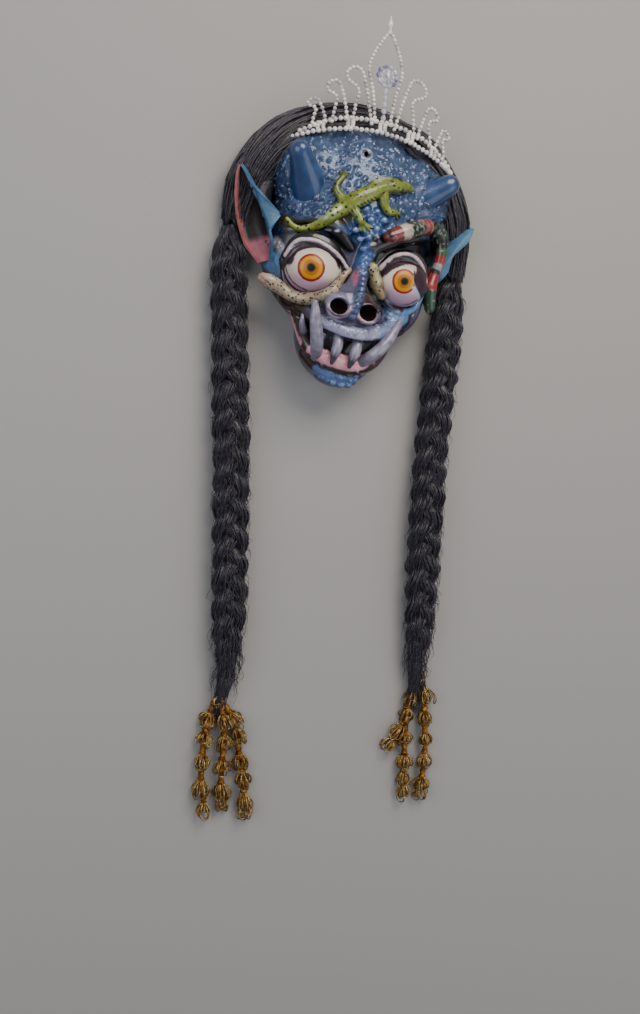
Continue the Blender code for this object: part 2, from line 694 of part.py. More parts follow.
bpy.context.view_layer.update()
LIZARD_BODY = laid_on(PLUG, [(-84, 21, 3, 2.4), (-73, 14, 3, 3.6), (-55, 18, 3, 5.0), (-39, 34, 4, 8),
                             (-23, 50, 5, 10), (-5, 64, 5, 9.5), (6, 72, 6, 7.5), (20, 79, 6, 9.5),
                             (33, 83, 5, 7.5), (45, 84, 3, 3.5)], lowest=80.0)
LIZARD_LEGS = [laid_on(PLUG, [(-30, 48, 4, 5), (-35, 64, 3, 4), (-33, 78, 2, 3.2)]),
               laid_on(PLUG, [(-22, 44, 4, 5), (-12, 38, 4, 4.5), (-1, 26, 3, 4.2)]),
               laid_on(PLUG, [(2, 74, 4, 4.5), (-6, 87, 3, 3.6), (-2, 97, 2, 3.2)]),
               laid_on(PLUG, [(10, 68, 4, 5), (14, 55, 4, 4.2), (28, 52, 3, 3.4)])]
lizard = creature("lizard", [LIZARD_BODY, *LIZARD_LEGS], LIZARD_FACES, LIZARD_PAINT,
                  (*FACE_TOOLS, *HORN_TOOLS))

SNAKE_BODY = laid_on(PLUG, [(-98, -46, 5, 5.5), (-90, -48, 5, 8.0), (-79, -51, 4, 7.2), (-67, -56, 4, 6.6),
                            (-55, -59, 4, 6.6), (-43, -58, 4, 7.0), (-33, -52, 4, 6.2), (-24, -41, 4, 5.2),
                            (-16, -28, 4, 4.2), (-10, -19, 4, 3.0)], lowest=76.0)
spotted_snake = creature("spotted_snake", [SNAKE_BODY], SNAKE_FACES, SPOTTED_PAINT,
                         (*FACE_TOOLS, *TOOTH_TOOLS))
SNAKE_TAIL = laid_on(PLUG, [(13, -12, 4, 5.5), (22, -24, 4, 8), (31, -36, 4, 5.5)])
spotted_snake_tail = creature("spotted_snake_tail", [SNAKE_TAIL], SNAKE_TAIL_FACES, SPOTTED_PAINT,
                              FACE_TOOLS)
BRAID_LEFT = [(-137, 6, 44, 9), (-131, -24, 47, 19), (-121, -76, 48, BRAID_RADIUS),
              (-111, -124, 48, BRAID_RADIUS), (-90, -230, 48, BRAID_RADIUS),
              (-69, -347, 48, BRAID_RADIUS), (-55, -433, 46, 18), (-48, -476, 42, 14), (-44, -504, 38, 9)]
BRAID_RIGHT = [(132, 14, 44, 9), (132, -14, 47, 18), (134, -64, 48, BRAID_RADIUS),
               (142, -185, 48, BRAID_RADIUS), (155, -299, 48, BRAID_RADIUS), (167, -385, 46, 18),
               (171, -420, 43, 15), (175, -445, 40, 11), (178, -460, 38, 9)]
left_braid = braid("left_braid", BRAID_LEFT, EAR_TOOLS)
right_braid = braid("right_braid", BRAID_RIGHT, EAR_TOOLS)
BRAID_TOOLS = [grown(left_braid), grown(right_braid)]

wig_piece = wig((PLUG_GROWN, *BRAID_TOOLS, *EAR_TOOLS))
WIG_GROWN = grown(wig_piece)
tiara_piece = tiara((PLUG_GROWN, WIG_GROWN))
tiara_pendant((grown(tiara_piece),))

left_tassel = tassel("left_tassel", (-42, -520, RIM_Z + 7), ((-45, -630), (-24, -634), (-2, -630)),
                     (BRAID_TOOLS[0],))
right_tassel = tassel("right_tassel", (180, -475, RIM_Z + 7), ((187, -592), (209, -590)),
                      (BRAID_TOOLS[1],))

for piece in FRAME.children:
    if not piece.hide_render and piece.type == "MESH":
        piece.data.shade_smooth()
        piece.data.set_sharp_from_angle(angle=SHARP)
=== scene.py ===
# %% [markdown]
# A diablada mask is the devil's face of a carnival dance. A mask maker builds the face from papier-mache,
# rolls snakes and a lizard out of paste, lets droplets of paste dry on the forehead, and paints it all with
# gloss enamel. A comb tiara of pearl beads, a wig and two plaits with gold tassels finish it.
# This lesson dresses the plain solids of such a mask. Each piece is modelled again at the fineness of the
# real one, in the place of its solid, and gets its own finish.

# %% Load the solids that the pieces stand for
import math

import bpy
import numpy as np
from mathutils import Matrix, Vector, noise
from mathutils.bvhtree import BVHTree
from mathutils.kdtree import KDTree


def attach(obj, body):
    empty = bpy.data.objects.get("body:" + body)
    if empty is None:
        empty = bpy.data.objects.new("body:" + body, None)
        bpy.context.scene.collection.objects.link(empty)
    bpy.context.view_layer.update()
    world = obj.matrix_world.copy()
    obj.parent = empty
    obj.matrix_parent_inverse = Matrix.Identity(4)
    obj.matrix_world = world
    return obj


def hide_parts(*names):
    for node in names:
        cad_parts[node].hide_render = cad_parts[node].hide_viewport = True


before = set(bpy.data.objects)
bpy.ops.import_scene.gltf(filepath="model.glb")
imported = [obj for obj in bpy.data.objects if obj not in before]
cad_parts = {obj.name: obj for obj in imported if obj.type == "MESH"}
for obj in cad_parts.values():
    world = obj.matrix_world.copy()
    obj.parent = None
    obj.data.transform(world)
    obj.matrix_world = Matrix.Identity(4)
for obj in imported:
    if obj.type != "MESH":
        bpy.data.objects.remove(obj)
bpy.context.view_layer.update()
print("solids to dress:", len(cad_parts))

# %% [markdown]
# A mask maker measures from the middle of the wearer's head, level with the bridge of the nose. The same
# measures are used here, in millimetres: x to the viewer's right, y to the crown, z out of the face.
# The mask lies on its back, so its rim, 30 mm in front of that middle, is on the floor.

# %% Measures
MM = 0.001
SHIFT = np.array((-33.0, 190.0, -30.0))
FLOOR_Z = 30.0


def to_world(points):
    """Places in the mask's own millimetres as metres on the floor."""
    return (np.asarray(points, float) + SHIFT) * MM


def from_world(points):
    """Places in metres on the floor as the mask's own millimetres."""
    return np.asarray(points, float) / MM - SHIFT


# %% [markdown]
# The camera looks down on the mask from its chin side and from the viewer's left, 1.2 m away, and it is
# turned a little about its own line of sight. A lens is matched by its angle of view: the picture is
# 1014 pixels high, and a place 1100 pixels from the middle would be at 45 degrees.

# %% Camera
CAMERA_PLACE = Vector(to_world((-362.8, -292.7, 1213.6)))
CAMERA_AIM = Vector(to_world((27.3, -272.4, 30.0)))
CAMERA_ROLL = math.radians(10.3)
PICTURE_HEIGHT = 1014
FOCAL_PIXELS = 1100
SENSOR_MM = 36.0

backward = (CAMERA_PLACE - CAMERA_AIM).normalized()
rightward = Vector((0, 1, 0)).cross(backward).normalized()
upward = backward.cross(rightward)
camera_axes = Matrix((rightward, upward, backward)).transposed() @ Matrix.Rotation(CAMERA_ROLL, 3, "Z")
camera_data = bpy.data.cameras.new("camera")
camera_data.sensor_width = SENSOR_MM
camera_data.lens = SENSOR_MM * FOCAL_PIXELS / PICTURE_HEIGHT


def put_in_scene(name, data):
    """A new object that shows this data."""
    made = bpy.data.objects.new(name, data)
    bpy.context.collection.objects.link(made)
    return made


camera = put_in_scene("camera", camera_data)
camera.matrix_world = Matrix.Translation(CAMERA_PLACE) @ camera_axes.to_4x4()
bpy.context.scene.camera = camera
print("lens", round(camera_data.lens, 2), "mm")

# %% [markdown]
# Everything in clay starts as a ball or a roll. Both are made here as bare points and faces, so that many
# of them can be joined before Blender sees them. A roll follows a smooth line through a few points, and
# each point carries its own radius, as a roll of paste is pinched thinner towards its end.

# %% Smooth lines
UP = np.array((0.0, 0.0, 1.0))
STEPS_PER_SPAN = 24
END_RING_ANGLES = (0.6, 1.1)


def unit(direction):
    """A direction one unit long."""
    return direction / np.linalg.norm(direction)


def clamp(share):
    """A share held between 0 and 1."""
    return np.clip(share, 0, 1)


def line_length(points):
    """How long a line through points is."""
    return np.linalg.norm(np.diff(np.asarray(points, float)[:, :3], axis=0), axis=1).sum()


def full_turn(count):
    """Equal steps once round, in radians."""
    return np.linspace(0.0, 2 * math.pi, count, endpoint=False)


def curve_through(points, count):
    """A smooth line through the points, read at equal steps. Each point may carry a radius."""
    points = np.asarray(points, float)
    padded = np.vstack([2 * points[0] - points[1], points, 2 * points[-1] - points[-2]])
    t = np.linspace(0.0, 1.0, STEPS_PER_SPAN, endpoint=False)[:, None]
    fine = [0.5 * (2 * b + (c - a) * t + (2 * a - 5 * b + 4 * c - d) * t ** 2
                   + (3 * b - a - 3 * c + d) * t ** 3)
            for a, b, c, d in zip(padded, padded[1:], padded[2:], padded[3:])]
    fine = np.vstack([*fine, points[-1:]])
    along = np.concatenate([[0.0], np.cumsum(np.linalg.norm(np.diff(fine[:, :3], axis=0), axis=1))])
    wanted = np.linspace(0.0, along[-1], count)
    return np.stack([np.interp(wanted, along, fine[:, k]) for k in range(points.shape[1])], 1)


def cross_directions(line):
    """Two directions across a line at each of its points, carried along it without a twist."""
    heading = np.gradient(line, axis=0)
    heading /= np.linalg.norm(heading, axis=1)[:, None]
    side = UP if abs(heading[0, 2]) < 0.95 else np.array((1.0, 0.0, 0.0))
    sides = []
    for direction in heading:
        side = unit(side - direction * (side @ direction))
        sides.append(side)
    sides = np.array(sides)
    return sides, np.cross(heading, sides)


# %% Balls and rolls


def skin(rings, sides, inside_out=False):
    """Faces over rings of points and the two tips that are listed after them."""
    around = [(k, (k + 1) % sides) for k in range(sides)]
    low, tip = (rings - 1) * sides, rings * sides
    starts = range(0, low, sides)
    if inside_out:
        return ([(i + k, i + sides + k, i + sides + n, i + n) for i in starts for k, n in around]
                + [(k, n, tip) for k, n in around] + [(low + n, low + k, tip + 1) for k, n in around])
    return ([(i + k, i + n, i + sides + n, i + sides + k) for i in starts for k, n in around]
            + [(n, k, tip) for k, n in around] + [(low + k, low + n, tip + 1) for k, n in around])


def roll(points, sides=12, step=4.0, width=None):
    """A tube with round ends through points of (x, y, z, radius); width(t, turn) may shape it."""
    line = curve_through(points, max(3, int(round(line_length(points) / step)) + 1))
    centres, radii = line[:, :3], line[:, 3]
    across, over = cross_directions(centres)
    turn = full_turn(sides)
    t = np.linspace(0.0, 1.0, len(line))[:, None]
    reach = radii[:, None] * (width(t, turn[None, :]) if width else 1.0)
    reach = np.broadcast_to(reach, (len(line), sides))
    rings = (centres[:, None] + (np.cos(turn) * reach)[..., None] * across[:, None]
             + (np.sin(turn) * reach)[..., None] * over[:, None])
    first, last = centres[0] - centres[1], centres[-1] - centres[-2]
    start, end = [], []
    for lift in END_RING_ANGLES:
        for rounded, ring, centre, radius, push in ((start, rings[0], centres[0], radii[0], first),
                                                    (end, rings[-1], centres[-1], radii[-1], last)):
            push = unit(push) * radius * math.sin(lift)
            rounded.append(centre + (ring - centre) * math.cos(lift) + push)
    rings = np.concatenate([np.array(start[::-1]), rings, np.array(end)])
    tips = [centres[0] + unit(first) * radii[0], centres[-1] + unit(last) * radii[-1]]
    return np.vstack([rings.reshape(-1, 3), tips]), skin(len(rings), sides)


def ball_rings(rings, segments, far):
    """Rings of points on a ball of radius one, down from its top by an angle, without the top."""
    down = np.linspace(0.0, far, rings + 1)[1:, None]
    around = full_turn(segments)[None, :]
    return np.stack([np.sin(down) * np.cos(around), np.sin(down) * np.sin(around),
                     np.cos(down) * np.ones_like(around)], -1)


def ball(centre, radii, turn=0.0, segments=24):
    """An ellipsoid, turned about z."""
    rings = segments // 2
    points = np.vstack([ball_rings(rings, segments, math.pi)[:-1].reshape(-1, 3), UP, -UP])
    c, s = math.cos(turn), math.sin(turn)
    turned = (points * np.broadcast_to(radii, 3)) @ np.array(((c, s, 0.0), (-s, c, 0.0), UP))
    return turned + np.asarray(centre, float), skin(rings - 1, segments, inside_out=True)


# %% Thin tubes and heaps


def tubes(lines, radii, sides=4):
    """Many thin tubes at once: lines is (tubes, points, 3) and radii (tubes, points)."""
    heading = np.gradient(lines, axis=1)
    heading /= np.linalg.norm(heading, axis=2, keepdims=True) + 1e-9
    up = np.where(np.abs(heading[..., 2:]) > 0.9, (1.0, 0.0, 0.0), UP)
    side = np.cross(heading, up)
    side /= np.linalg.norm(side, axis=2, keepdims=True)
    over = np.cross(heading, side)
    turn = full_turn(sides)[:, None]
    points = (lines[:, :, None] + np.cos(turn) * (side * radii[..., None])[:, :, None]
              + np.sin(turn) * (over * radii[..., None])[:, :, None])
    count, length = radii.shape
    index = np.arange(count * length * sides).reshape(count, length, sides)
    low, high = index[:, :-1], index[:, 1:]
    walls = np.stack([low, np.roll(low, -1, 2), np.roll(high, -1, 2), high], -1).reshape(-1, 4)
    caps = [index[:, 0, ::-1], index[:, -1]]
    return points.reshape(-1, 3), walls.tolist() + np.vstack(caps).tolist()


def together(parts):
    """Several lumps as one list of points and one of faces."""
    points, faces, start = [], [], 0
    for part_points, part_faces in parts:
        points.append(part_points)
        faces += [[start + k for k in face] for face in part_faces]
        start += len(part_points)
    return np.vstack(points), faces


# %% [markdown]
# In Blender a lump of clay becomes a mesh object. A voxel remesh melts overlapping lumps into one skin, as
# a wet thumb does, and exact Booleans cut the hollows. Each tool is removed as soon as it has cut.

# %% From lumps to pieces


def add_piece(name, parts, finish=None):
    """Put lumps in the scene as one object with its faces pointing out."""
    points, faces = together(parts)
    mesh = bpy.data.meshes.new(name)
    mesh.from_pydata(to_world(points).tolist(), [], faces)
    mesh.shade_smooth()
    if finish:
        mesh.materials.append(finish)
    return put_in_scene(name, mesh)


def finish_with(made, *finishes):
    """Give an object these finishes in place of those it has."""
    made.data.materials.clear()
    for finish in finishes:
        made.data.materials.append(finish)
    return made


def settle(made):
    """Turn an object's modifiers into its mesh."""
    bpy.context.view_layer.update()
    graph = bpy.context.evaluated_depsgraph_get()
    mesh = bpy.data.meshes.new_from_object(made.evaluated_get(graph))
    made.modifiers.clear()
    made.data = mesh
    mesh.shade_smooth()
    return made


def fuse(made, grain, smoothing=0):
    """Melt overlapping lumps into one skin and soften it."""
    remesh = made.modifiers.new("fuse", "REMESH")
    remesh.mode = "VOXEL"
    remesh.voxel_size = grain * MM
    if smoothing:
        made.modifiers.new("soften", "SMOOTH").iterations = smoothing
    return settle(made)


def cut(made, *tools, keep=()):
    """Cut an object by tools, and remove the tools that aren't kept."""
    for tool in tools:
        boolean = made.modifiers.new("cut", "BOOLEAN")
        boolean.object = tool
    settle(made)
    for tool in tools:
        if tool not in keep:
            bpy.data.objects.remove(tool)
    return made


def swell(made, amount):
    """Grow an object along its normals, or shrink it, by millimetres."""
    displace = made.modifiers.new("swell", "DISPLACE")
    displace.strength = amount * MM
    displace.mid_level = 0.0
    return settle(made)


def thin_out(made, share):
    """Keep about this share of a mesh's faces."""
    made.modifiers.new("thin", "DECIMATE").ratio = share
    return settle(made)


# %% [markdown]
# Points are read from a mesh and written back all at once, as one array, in the mask's own millimetres. A
# finished piece rides with the mask and takes the place of its solids.

# %% Points, corners and places


def faces_of(made):
    """An object's faces, each a list of point numbers."""
    return [list(polygon.vertices) for polygon in made.data.polygons]


def places(made):
    """An object's points, in the mask's own millimetres."""
    flat = np.empty(len(made.data.vertices) * 3, np.float32)
    made.data.vertices.foreach_get("co", flat)
    return from_world(flat.reshape(-1, 3))


def move_to(made, points):
    """Put an object's points in new places."""
    made.data.vertices.foreach_set("co", to_world(points).astype(np.float32).ravel())
    made.data.update()


def sharpen(made, degrees=45.0):
    """Keep only sharp corners sharp in the shading."""
    made.data.set_sharp_from_angle(angle=math.radians(degrees))
    return made


def dress(made, slot, *nodes):
    """Make a piece ride with the mask in place of its solids."""
    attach(made, "root")
    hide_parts(*nodes)
    print(made.name, len(made.data.polygons), "faces")
    return made


# %% [markdown]
# A finish starts from a colour chart. Paint charts give sRGB hex values, and Blender's shaders work in
# linear light, so one function turns them. A second adds any node with its settings and links. Patterns
# are scaled by their real size: a texture's scale is the number of its cells in one metre.

# %% Colours, nodes and pattern sizes
# Where a Mix node has its two colour inputs
MIX_A, MIX_B = 6, 7


def linear(code, alpha=1.0):
    """An sRGB hex colour as linear red, green, blue and alpha."""
    shares = [int(code[k:k + 2], 16) / 255 for k in (1, 3, 5)]
    return (*(c / 12.92 if c <= 0.04045 else ((c + 0.055) / 1.055) ** 2.4 for c in shares), alpha)


def per_metre(size_mm):
    """How many cells of a pattern fit in one metre."""
    return 1000.0 / size_mm


# %% Nodes and finishes


def as_colour(value):
    """A hex colour as a linear one, and any other value as it is."""
    return linear(value) if isinstance(value, str) else value


def set_inputs(node, inputs):
    """Give a node's sockets their numbers, colours or links; a whole node stands for its main output."""
    for name, value in inputs.items():
        if isinstance(value, bpy.types.Node):
            value = next(output for output in value.outputs if output.enabled)
        if isinstance(value, bpy.types.NodeSocket):
            node.id_data.links.new(value, node.inputs[name])
        else:
            node.inputs[name].default_value = as_colour(value)


def add_node(tree, kind, inputs=None, stops=(), **settings):
    """Add a node: settings are its properties, inputs are values or links, stops fill a colour ramp."""
    made = tree.nodes.new("ShaderNode" + kind)
    for name, value in settings.items():
        setattr(made, name, value)
    set_inputs(made, inputs or {})
    if stops:
        elements = made.color_ramp.elements
        while len(elements) < len(stops):
            elements.new(0.5)
        for element, (place, colour) in zip(elements, stops):
            element.position = place
            element.color = as_colour(colour)
    return made


def new_finish(name, **shader_values):
    """A material with a Principled shader, its tree and its surface coordinates in metres."""
    made = bpy.data.materials.new(name)
    made.use_nodes = True
    tree = made.node_tree
    shader = tree.nodes["Principled BSDF"]
    set_inputs(shader, {socket.replace("_", " "): value for socket, value in shader_values.items()})
    surface = add_node(tree, "TexCoord").outputs["Object"]
    print("finish:", name)
    return made, tree, shader, surface


def colour_patches(tree, surface, patch_mm, stops, **noise_inputs):
    """Soft patches of a size in millimetres, and the colours that they run through."""
    patches = add_node(tree, "TexNoise", {"Vector": surface, "Scale": per_metre(patch_mm), **noise_inputs})
    return patches, add_node(tree, "ValToRGB", {"Fac": patches}, stops=stops)

# %% [markdown]
# The face is papier-mache under a coat of enamel, brushed on in many colours. Where droplets of paste
# dried first, the enamel is a metallic blue that glitters. The coat is stored on the mesh, as colour and
# as sparkle in the alpha channel, and one enamel finish reads it. Enamel is a resin with an index of
# about 1.5, glossy, and its brush marks show as a faint unevenness.

# %% Enamel
ENAMEL_IOR = 1.5


def enamel(name, droplet_mm=2.4, droplet_height=0.5, roughness=0.30, coat_weight=0.5):
    """Gloss enamel that reads its colour and sparkle from the painted coat."""
    made, tree, shader, surface = new_finish(name, IOR=ENAMEL_IOR, Coat_Weight=coat_weight,
                                             Coat_Roughness=0.08)
    coat = add_node(tree, "Attribute", attribute_name="coat")
    sparkle = coat.outputs["Alpha"]
    thin, thick = (0.72, 0.72, 0.76, 1), (1.22, 1.22, 1.2, 1)
    mottle, shade = colour_patches(tree, surface, 11, [(0.30, thin), (0.70, thick)], Detail=4.0,
                                   Roughness=0.6)
    toned = add_node(tree, "Mix", {0: 1.0, MIX_A: coat, MIX_B: shade},
                     data_type="RGBA", blend_type="MULTIPLY")
    flakes = add_node(tree, "TexVoronoi", {"Vector": surface, "Scale": per_metre(1.5)})
    flake_light = add_node(tree, "Math", {0: flakes.outputs["Color"], 1: 0.90}, operation="GREATER_THAN")
    flake_share = add_node(tree, "Math", {0: flake_light, 1: sparkle}, operation="MULTIPLY")
    flake_soft = add_node(tree, "Math", {0: flake_share, 1: 0.25}, operation="MULTIPLY")
    lit = add_node(tree, "Mix", {0: flake_soft, MIX_A: toned, MIX_B: "#a9b4d2"}, data_type="RGBA")
    metal = add_node(tree, "Math", {0: sparkle, 1: 0.28}, operation="MULTIPLY")
    gloss = add_node(tree, "MapRange", {"Value": mottle, "To Min": roughness - 0.08,
                                        "To Max": roughness + 0.12})
    cells = add_node(tree, "TexVoronoi", {"Vector": surface, "Scale": per_metre(droplet_mm)})
    near = add_node(tree, "Math", {0: cells, 1: 0.40}, operation="DIVIDE")
    squared = add_node(tree, "Math", {0: near, 1: 2.0}, operation="POWER")
    below = add_node(tree, "Math", {0: 1.0, 1: squared}, operation="SUBTRACT", use_clamp=True)
    round_top = add_node(tree, "Math", {0: below, 1: 0.5}, operation="POWER")
    drops = add_node(tree, "Math", {0: round_top, 1: sparkle}, operation="MULTIPLY")
    brushed = add_node(tree, "TexNoise",
                       {"Vector": surface, "Scale": per_metre(2.2), "Detail": 3.0, "Distortion": 0.6})
    marks = add_node(tree, "Math", {0: brushed, 1: 0.18}, operation="MULTIPLY")
    height = add_node(tree, "Math", {0: drops, 1: marks}, operation="ADD")
    bump = add_node(tree, "Bump", {"Height": height, "Strength": 0.9, "Distance": droplet_height * MM})
    set_inputs(shader, {"Base Color": lit, "Metallic": metal, "Roughness": gloss, "Normal": bump})
    return made


FACE_ENAMEL = enamel("face_enamel")
EAR_ENAMEL = enamel("ear_enamel", roughness=0.55, coat_weight=0.1)
# Painted shade: a matt near-black for the insides of the nostrils, without reflections.
NOSTRIL_SHADE = new_finish("nostril_painted_shade", Base_Color="#160a09", Roughness=0.92, IOR=1.4,
                           Specular_IOR_Level=0.15)[0]

# %% [markdown]
# Inside, nobody paints a mask: the last layer of brown paper is left as it dried, matt and a little
# wrinkled.

# %% Raw paper
RAW_PAPER, tree, shader, surface = new_finish("raw_papier_mache", Roughness=0.85, IOR=1.45)
fibres, paper = colour_patches(tree, surface, 7, [(0.30, "#5f4c36"), (0.55, "#8d7656"), (0.75, "#a8946f")],
                               Detail=8.0, Roughness=0.7)
wrinkles = add_node(tree, "Bump", {"Height": fibres, "Strength": 0.6, "Distance": 0.8 * MM})
set_inputs(shader, {"Base Color": paper, "Normal": wrinkles})

# %% [markdown]
# The head form is a few fused ellipsoids: skull, temples, cheeks, jaw and chin. It also gives the hollow,
# shrunk by the wall. Brows, lids, nose and mouth are rolls and balls laid on it, as in clay.

# %% Face measures
WALL = 7.0
FORM_GRAIN = 4.0
FACE_GRAIN = 1.34
HEAD_SHARE = 0.12
EYE_RADII = np.array((32.0, 27.0, 26.0))
LEFT_EYE = np.array((-46.0, -25.0, 84.0))
RIGHT_EYE = np.array((54.0, -14.0, 82.0))
EYE_BACK_Z = 77.0
NOSTRIL_RADII = (10.5, 8.5, 13)
NOSTRILS = ((-21, -64, 122), (12, -64, 122))
SCREW_HOLE = (-13, 108)
SCREW_HOLE_RADIUS = 2.6
SCREW_RING_RADIUS = 6.5

UPPER_LIDS = (
    [(-80, -22, 79, 4), (-72, -2, 91, 6), (-53, 5, 97, 7), (-34, 0, 98, 6.5), (-19, -14, 95, 5),
     (-11, -32, 91, 3.5)],
    [(26, -17, 91, 4), (35, 2, 95, 6), (54, 13, 96, 7), (74, 9, 86, 6), (88, -13, 74, 4)])
LID_RIMS = (
    [(-80, -19, 87), (-77, -9, 94), (-72, -2.5, 100), (-64, -0.5, 103), (-52, 0, 105), (-38, -4, 105),
     (-25, -10, 104), (-13, -19, 100)],
    [(24, -9, 95), (29, 0, 98), (36, 7.5, 101), (44, 11, 103), (53, 12, 104), (63, 10, 101),
     (73, 5, 95), (80, -2, 88)])
LOWER_LIDS = (
    [(-80, -24, 80, 3.5), (-71, -46, 80, 4), (-50, -56, 85, 4), (-28, -49, 90, 4), (-13, -31, 91, 3.5)],
    [(28, -17, 91, 3.5), (36, -38, 90, 4), (57, -47, 85, 4), (78, -38, 76, 4), (87, -14, 74, 3.5)])
LID_EDGES = (
    [(-79, -30, 84, 2), (-75, -20, 91, 4), (-70, -11, 96, 4.4), (-61, -6.5, 99, 3.8),
     (-50, -5, 100, 3.2), (-38, -9, 101, 2.8), (-29, -15, 100, 2.4), (-20, -24, 98, 1.6)],
    [(27, -14, 94, 1.8), (32, -4, 97, 2.8), (39, 3, 99, 3), (48, 6, 100, 3), (58, 6.5, 99, 2.8),
     (68, 2, 95, 2.6), (76, -6, 89, 1.8)])
BROWS = (
    [(-78, 20, 66, 7), (-62, 30, 84, 10), (-38, 24, 97, 11), (-13, 5, 98, 5)],
    [(16, 14, 103, 8), (40, 31, 96, 11), (66, 42, 78, 11), (88, 38, 52, 8)])
UPPER_LIP = [
    (-52, -66, 78, 8), (-32, -80, 99, 10), (0, -87, 106, 10.5), (33, -80, 99, 10), (60, -62, 78, 8)]
GUM = [(-52, -72, 66, 6), (-33, -108, 84, 8.5), (0, -118, 91, 9.5), (36, -109, 82, 9), (62, -70, 62, 7)]
LOWER_LIP = [
    (-34, -112, 66, 7), (-19, -125, 78, 8), (2, -128, 84, 8), (22, -125, 78, 8), (42, -106, 64, 7)]
MOUTH = [(-55, -72, 78, 3), (-34, -93, 101, 8), (0, -101, 107, 10), (35, -92, 101, 8), (60, -68, 80, 3)]
CHEEK_RIDGE = [(88, -20, 60, 7), (84, -44, 58, 7), (68, -64, 66, 7)]

# %% [markdown]
# The snout has two nostril rims and a ridge of scales, the gum rises in points between the teeth, and the
# knot of the frown is a heap of small lobes.

# %% Snout, gum points and frown
SCALES = 9
GUM_POINTS = (
    (-25, -109, 93, 4.5), (-18, -110, 95, 4), (-2, -111, 97, 4.5), (3, -110, 96, 4),
    (22, -107, 93, 4.5), (30, -108, 90, 4))
KNOT_LOBES = (
    (-16, 42, 100, 6), (-5, 47, 102, 6), (7, 47, 103, 5.5), (16, 40, 104, 6), (-11, 33, 104, 5.5),
    (1, 36, 106, 6), (18, 28, 105, 5), (8, 28, 108, 5.5), (-4, 25, 107, 5.5), (-14, 22, 105, 5),
    (1, 17, 109, 5), (11, 18, 109, 4.5), (-8, 13, 107, 4.5), (5, 8, 108, 4.5), (-3, 4, 106, 4),
    (10, 1, 106, 4), (3, -6, 104, 4))


def scale_place(k):
    """Where each scale of the nose ridge sits, from the bridge to the lip."""
    t = k / (SCALES - 1)
    return 3 - 8 * t, -22 - 50 * t, 106 + 17 * math.sin(2.2 * t)


def soft_mounds():
    """The mound under each eye, the chin and the flesh around the mouth."""
    mounds = [ball((eye[0], eye[1], eye[2] - 22), (37, 32, 30)) for eye in (LEFT_EYE, RIGHT_EYE)]
    return mounds + [ball((2, -131, 74), (25, 11, 13)), ball((-54, -54, 62), (20, 17, 18)),
                     ball((56, -50, 66), (24, 20, 20))]


def snout():
    """Bridge, snout, the lower rim of each nostril, and the scales."""
    lumps = [roll([(7, 8, 96, 11), (3, -20, 97, 10), (-3, -45, 100, 14), (-5, -62, 102, 18)], step=6),
             ball((-5, -58, 98), (35, 24, 24)), ball((7, 24, 98), (15, 13, 13)),
             ball((9, 10, 101), (11, 10, 10))]
    for x, y, _ in NOSTRILS:
        rim = [(x + 11.5 * math.cos(a), y + 9.2 * math.sin(a), 120.5 + 1.5 * math.cos(a), 2.3)
               for a in np.linspace(math.pi * 0.9, math.pi * 2.1, 9)]
        lumps += [ball((x, -62, 112), (15.5, 14, 13)), roll(rim, sides=8, step=3)]
    return lumps + [ball(scale_place(k), (5.2, 3.6, 4.6), segments=14) for k in range(SCALES)]


# %% [markdown]
# All of it is fused once, the nostrils and the mouth are cut, and it is fused again, so that the cut edges
# are as soft as pressed clay.

# %% Face in clay
# The centre and radii of each ball of the head form, and how many sides it is drawn with
FORM_BALLS = (
    ((0, 52, 30), (98, 108, 74), 36), ((-47, 80, 40), (58, 56, 52), 24), ((52, 82, 40), (56, 57, 50), 24),
    ((0, 5, 38), (97, 86, 58), 36), ((5, -75, 44), (49, 60, 49), 24), ((1, -112, 56), (27, 26, 28), 24))
form = add_piece("form", [ball(centre, radii, segments=segments) for centre, radii, segments in FORM_BALLS])
fuse(form, FORM_GRAIN, smoothing=14)
rims = [[(*place, 2.3) for place in line] for line in LID_RIMS]
rolls = (*BROWS, *UPPER_LIDS, *LOWER_LIDS, *LID_EDGES, *rims, UPPER_LIP, GUM, LOWER_LIP, CHEEK_RIDGE)
lumps = [(places(form), faces_of(form))] + [roll(line, step=4) for line in rolls]
lumps += [ball((x, y, z), (r, r * 0.9, r * 0.8), segments=14)
          for x, y, z, r in (*KNOT_LOBES, *GUM_POINTS)]
face = add_piece("mask_shell_painted", lumps + soft_mounds() + snout(), FACE_ENAMEL)
fuse(face, FACE_GRAIN, smoothing=1)
head = thin_out(put_in_scene("head", face.data.copy()), HEAD_SHARE)
holes = [add_piece("nostril_tool", [ball(place, NOSTRIL_RADII)]) for place in NOSTRILS]
cut(face, *holes, add_piece("mouth_tool", [roll(MOUTH, sides=14, step=8)]))
fuse(face, FACE_GRAIN, smoothing=2)
print("face in clay", len(face.data.polygons), "faces")

# %% [markdown]
# The rest of the making needs to know where the surface is. The filled head answers for pieces laid on it,
# and a distance from a line answers for paint and relief.

# %% Surface questions
SKY = 400.0
LOWEST = 40.0
head_tree = BVHTree.FromPolygons(places(head).tolist(), faces_of(head))


def height_on(x, y):
    """How high the head stands over a place on the floor."""
    found = head_tree.ray_cast(Vector((x, y, SKY)), Vector(-UP))[0]
    return found.z if found else LOWEST


print("height between the eyes", round(height_on(0, 0)), "mm")


def laid_on(points, lowest=LOWEST, step=6.0):
    """A smooth line through points of (x, y, lift, radius), laid on the head like a soft roll."""
    length = sum(math.dist(a[:2], b[:2]) for a, b in zip(points, points[1:]))
    line = curve_through(points, max(4, int(length / step)))
    line[:, 2] += [max(lowest, height_on(x, y)) for x, y in line[:, :2]]
    for _ in range(2):
        line[1:-1, 2] = (line[:-2, 2] + 2 * line[1:-1, 2] + line[2:, 2]) / 4
    return line


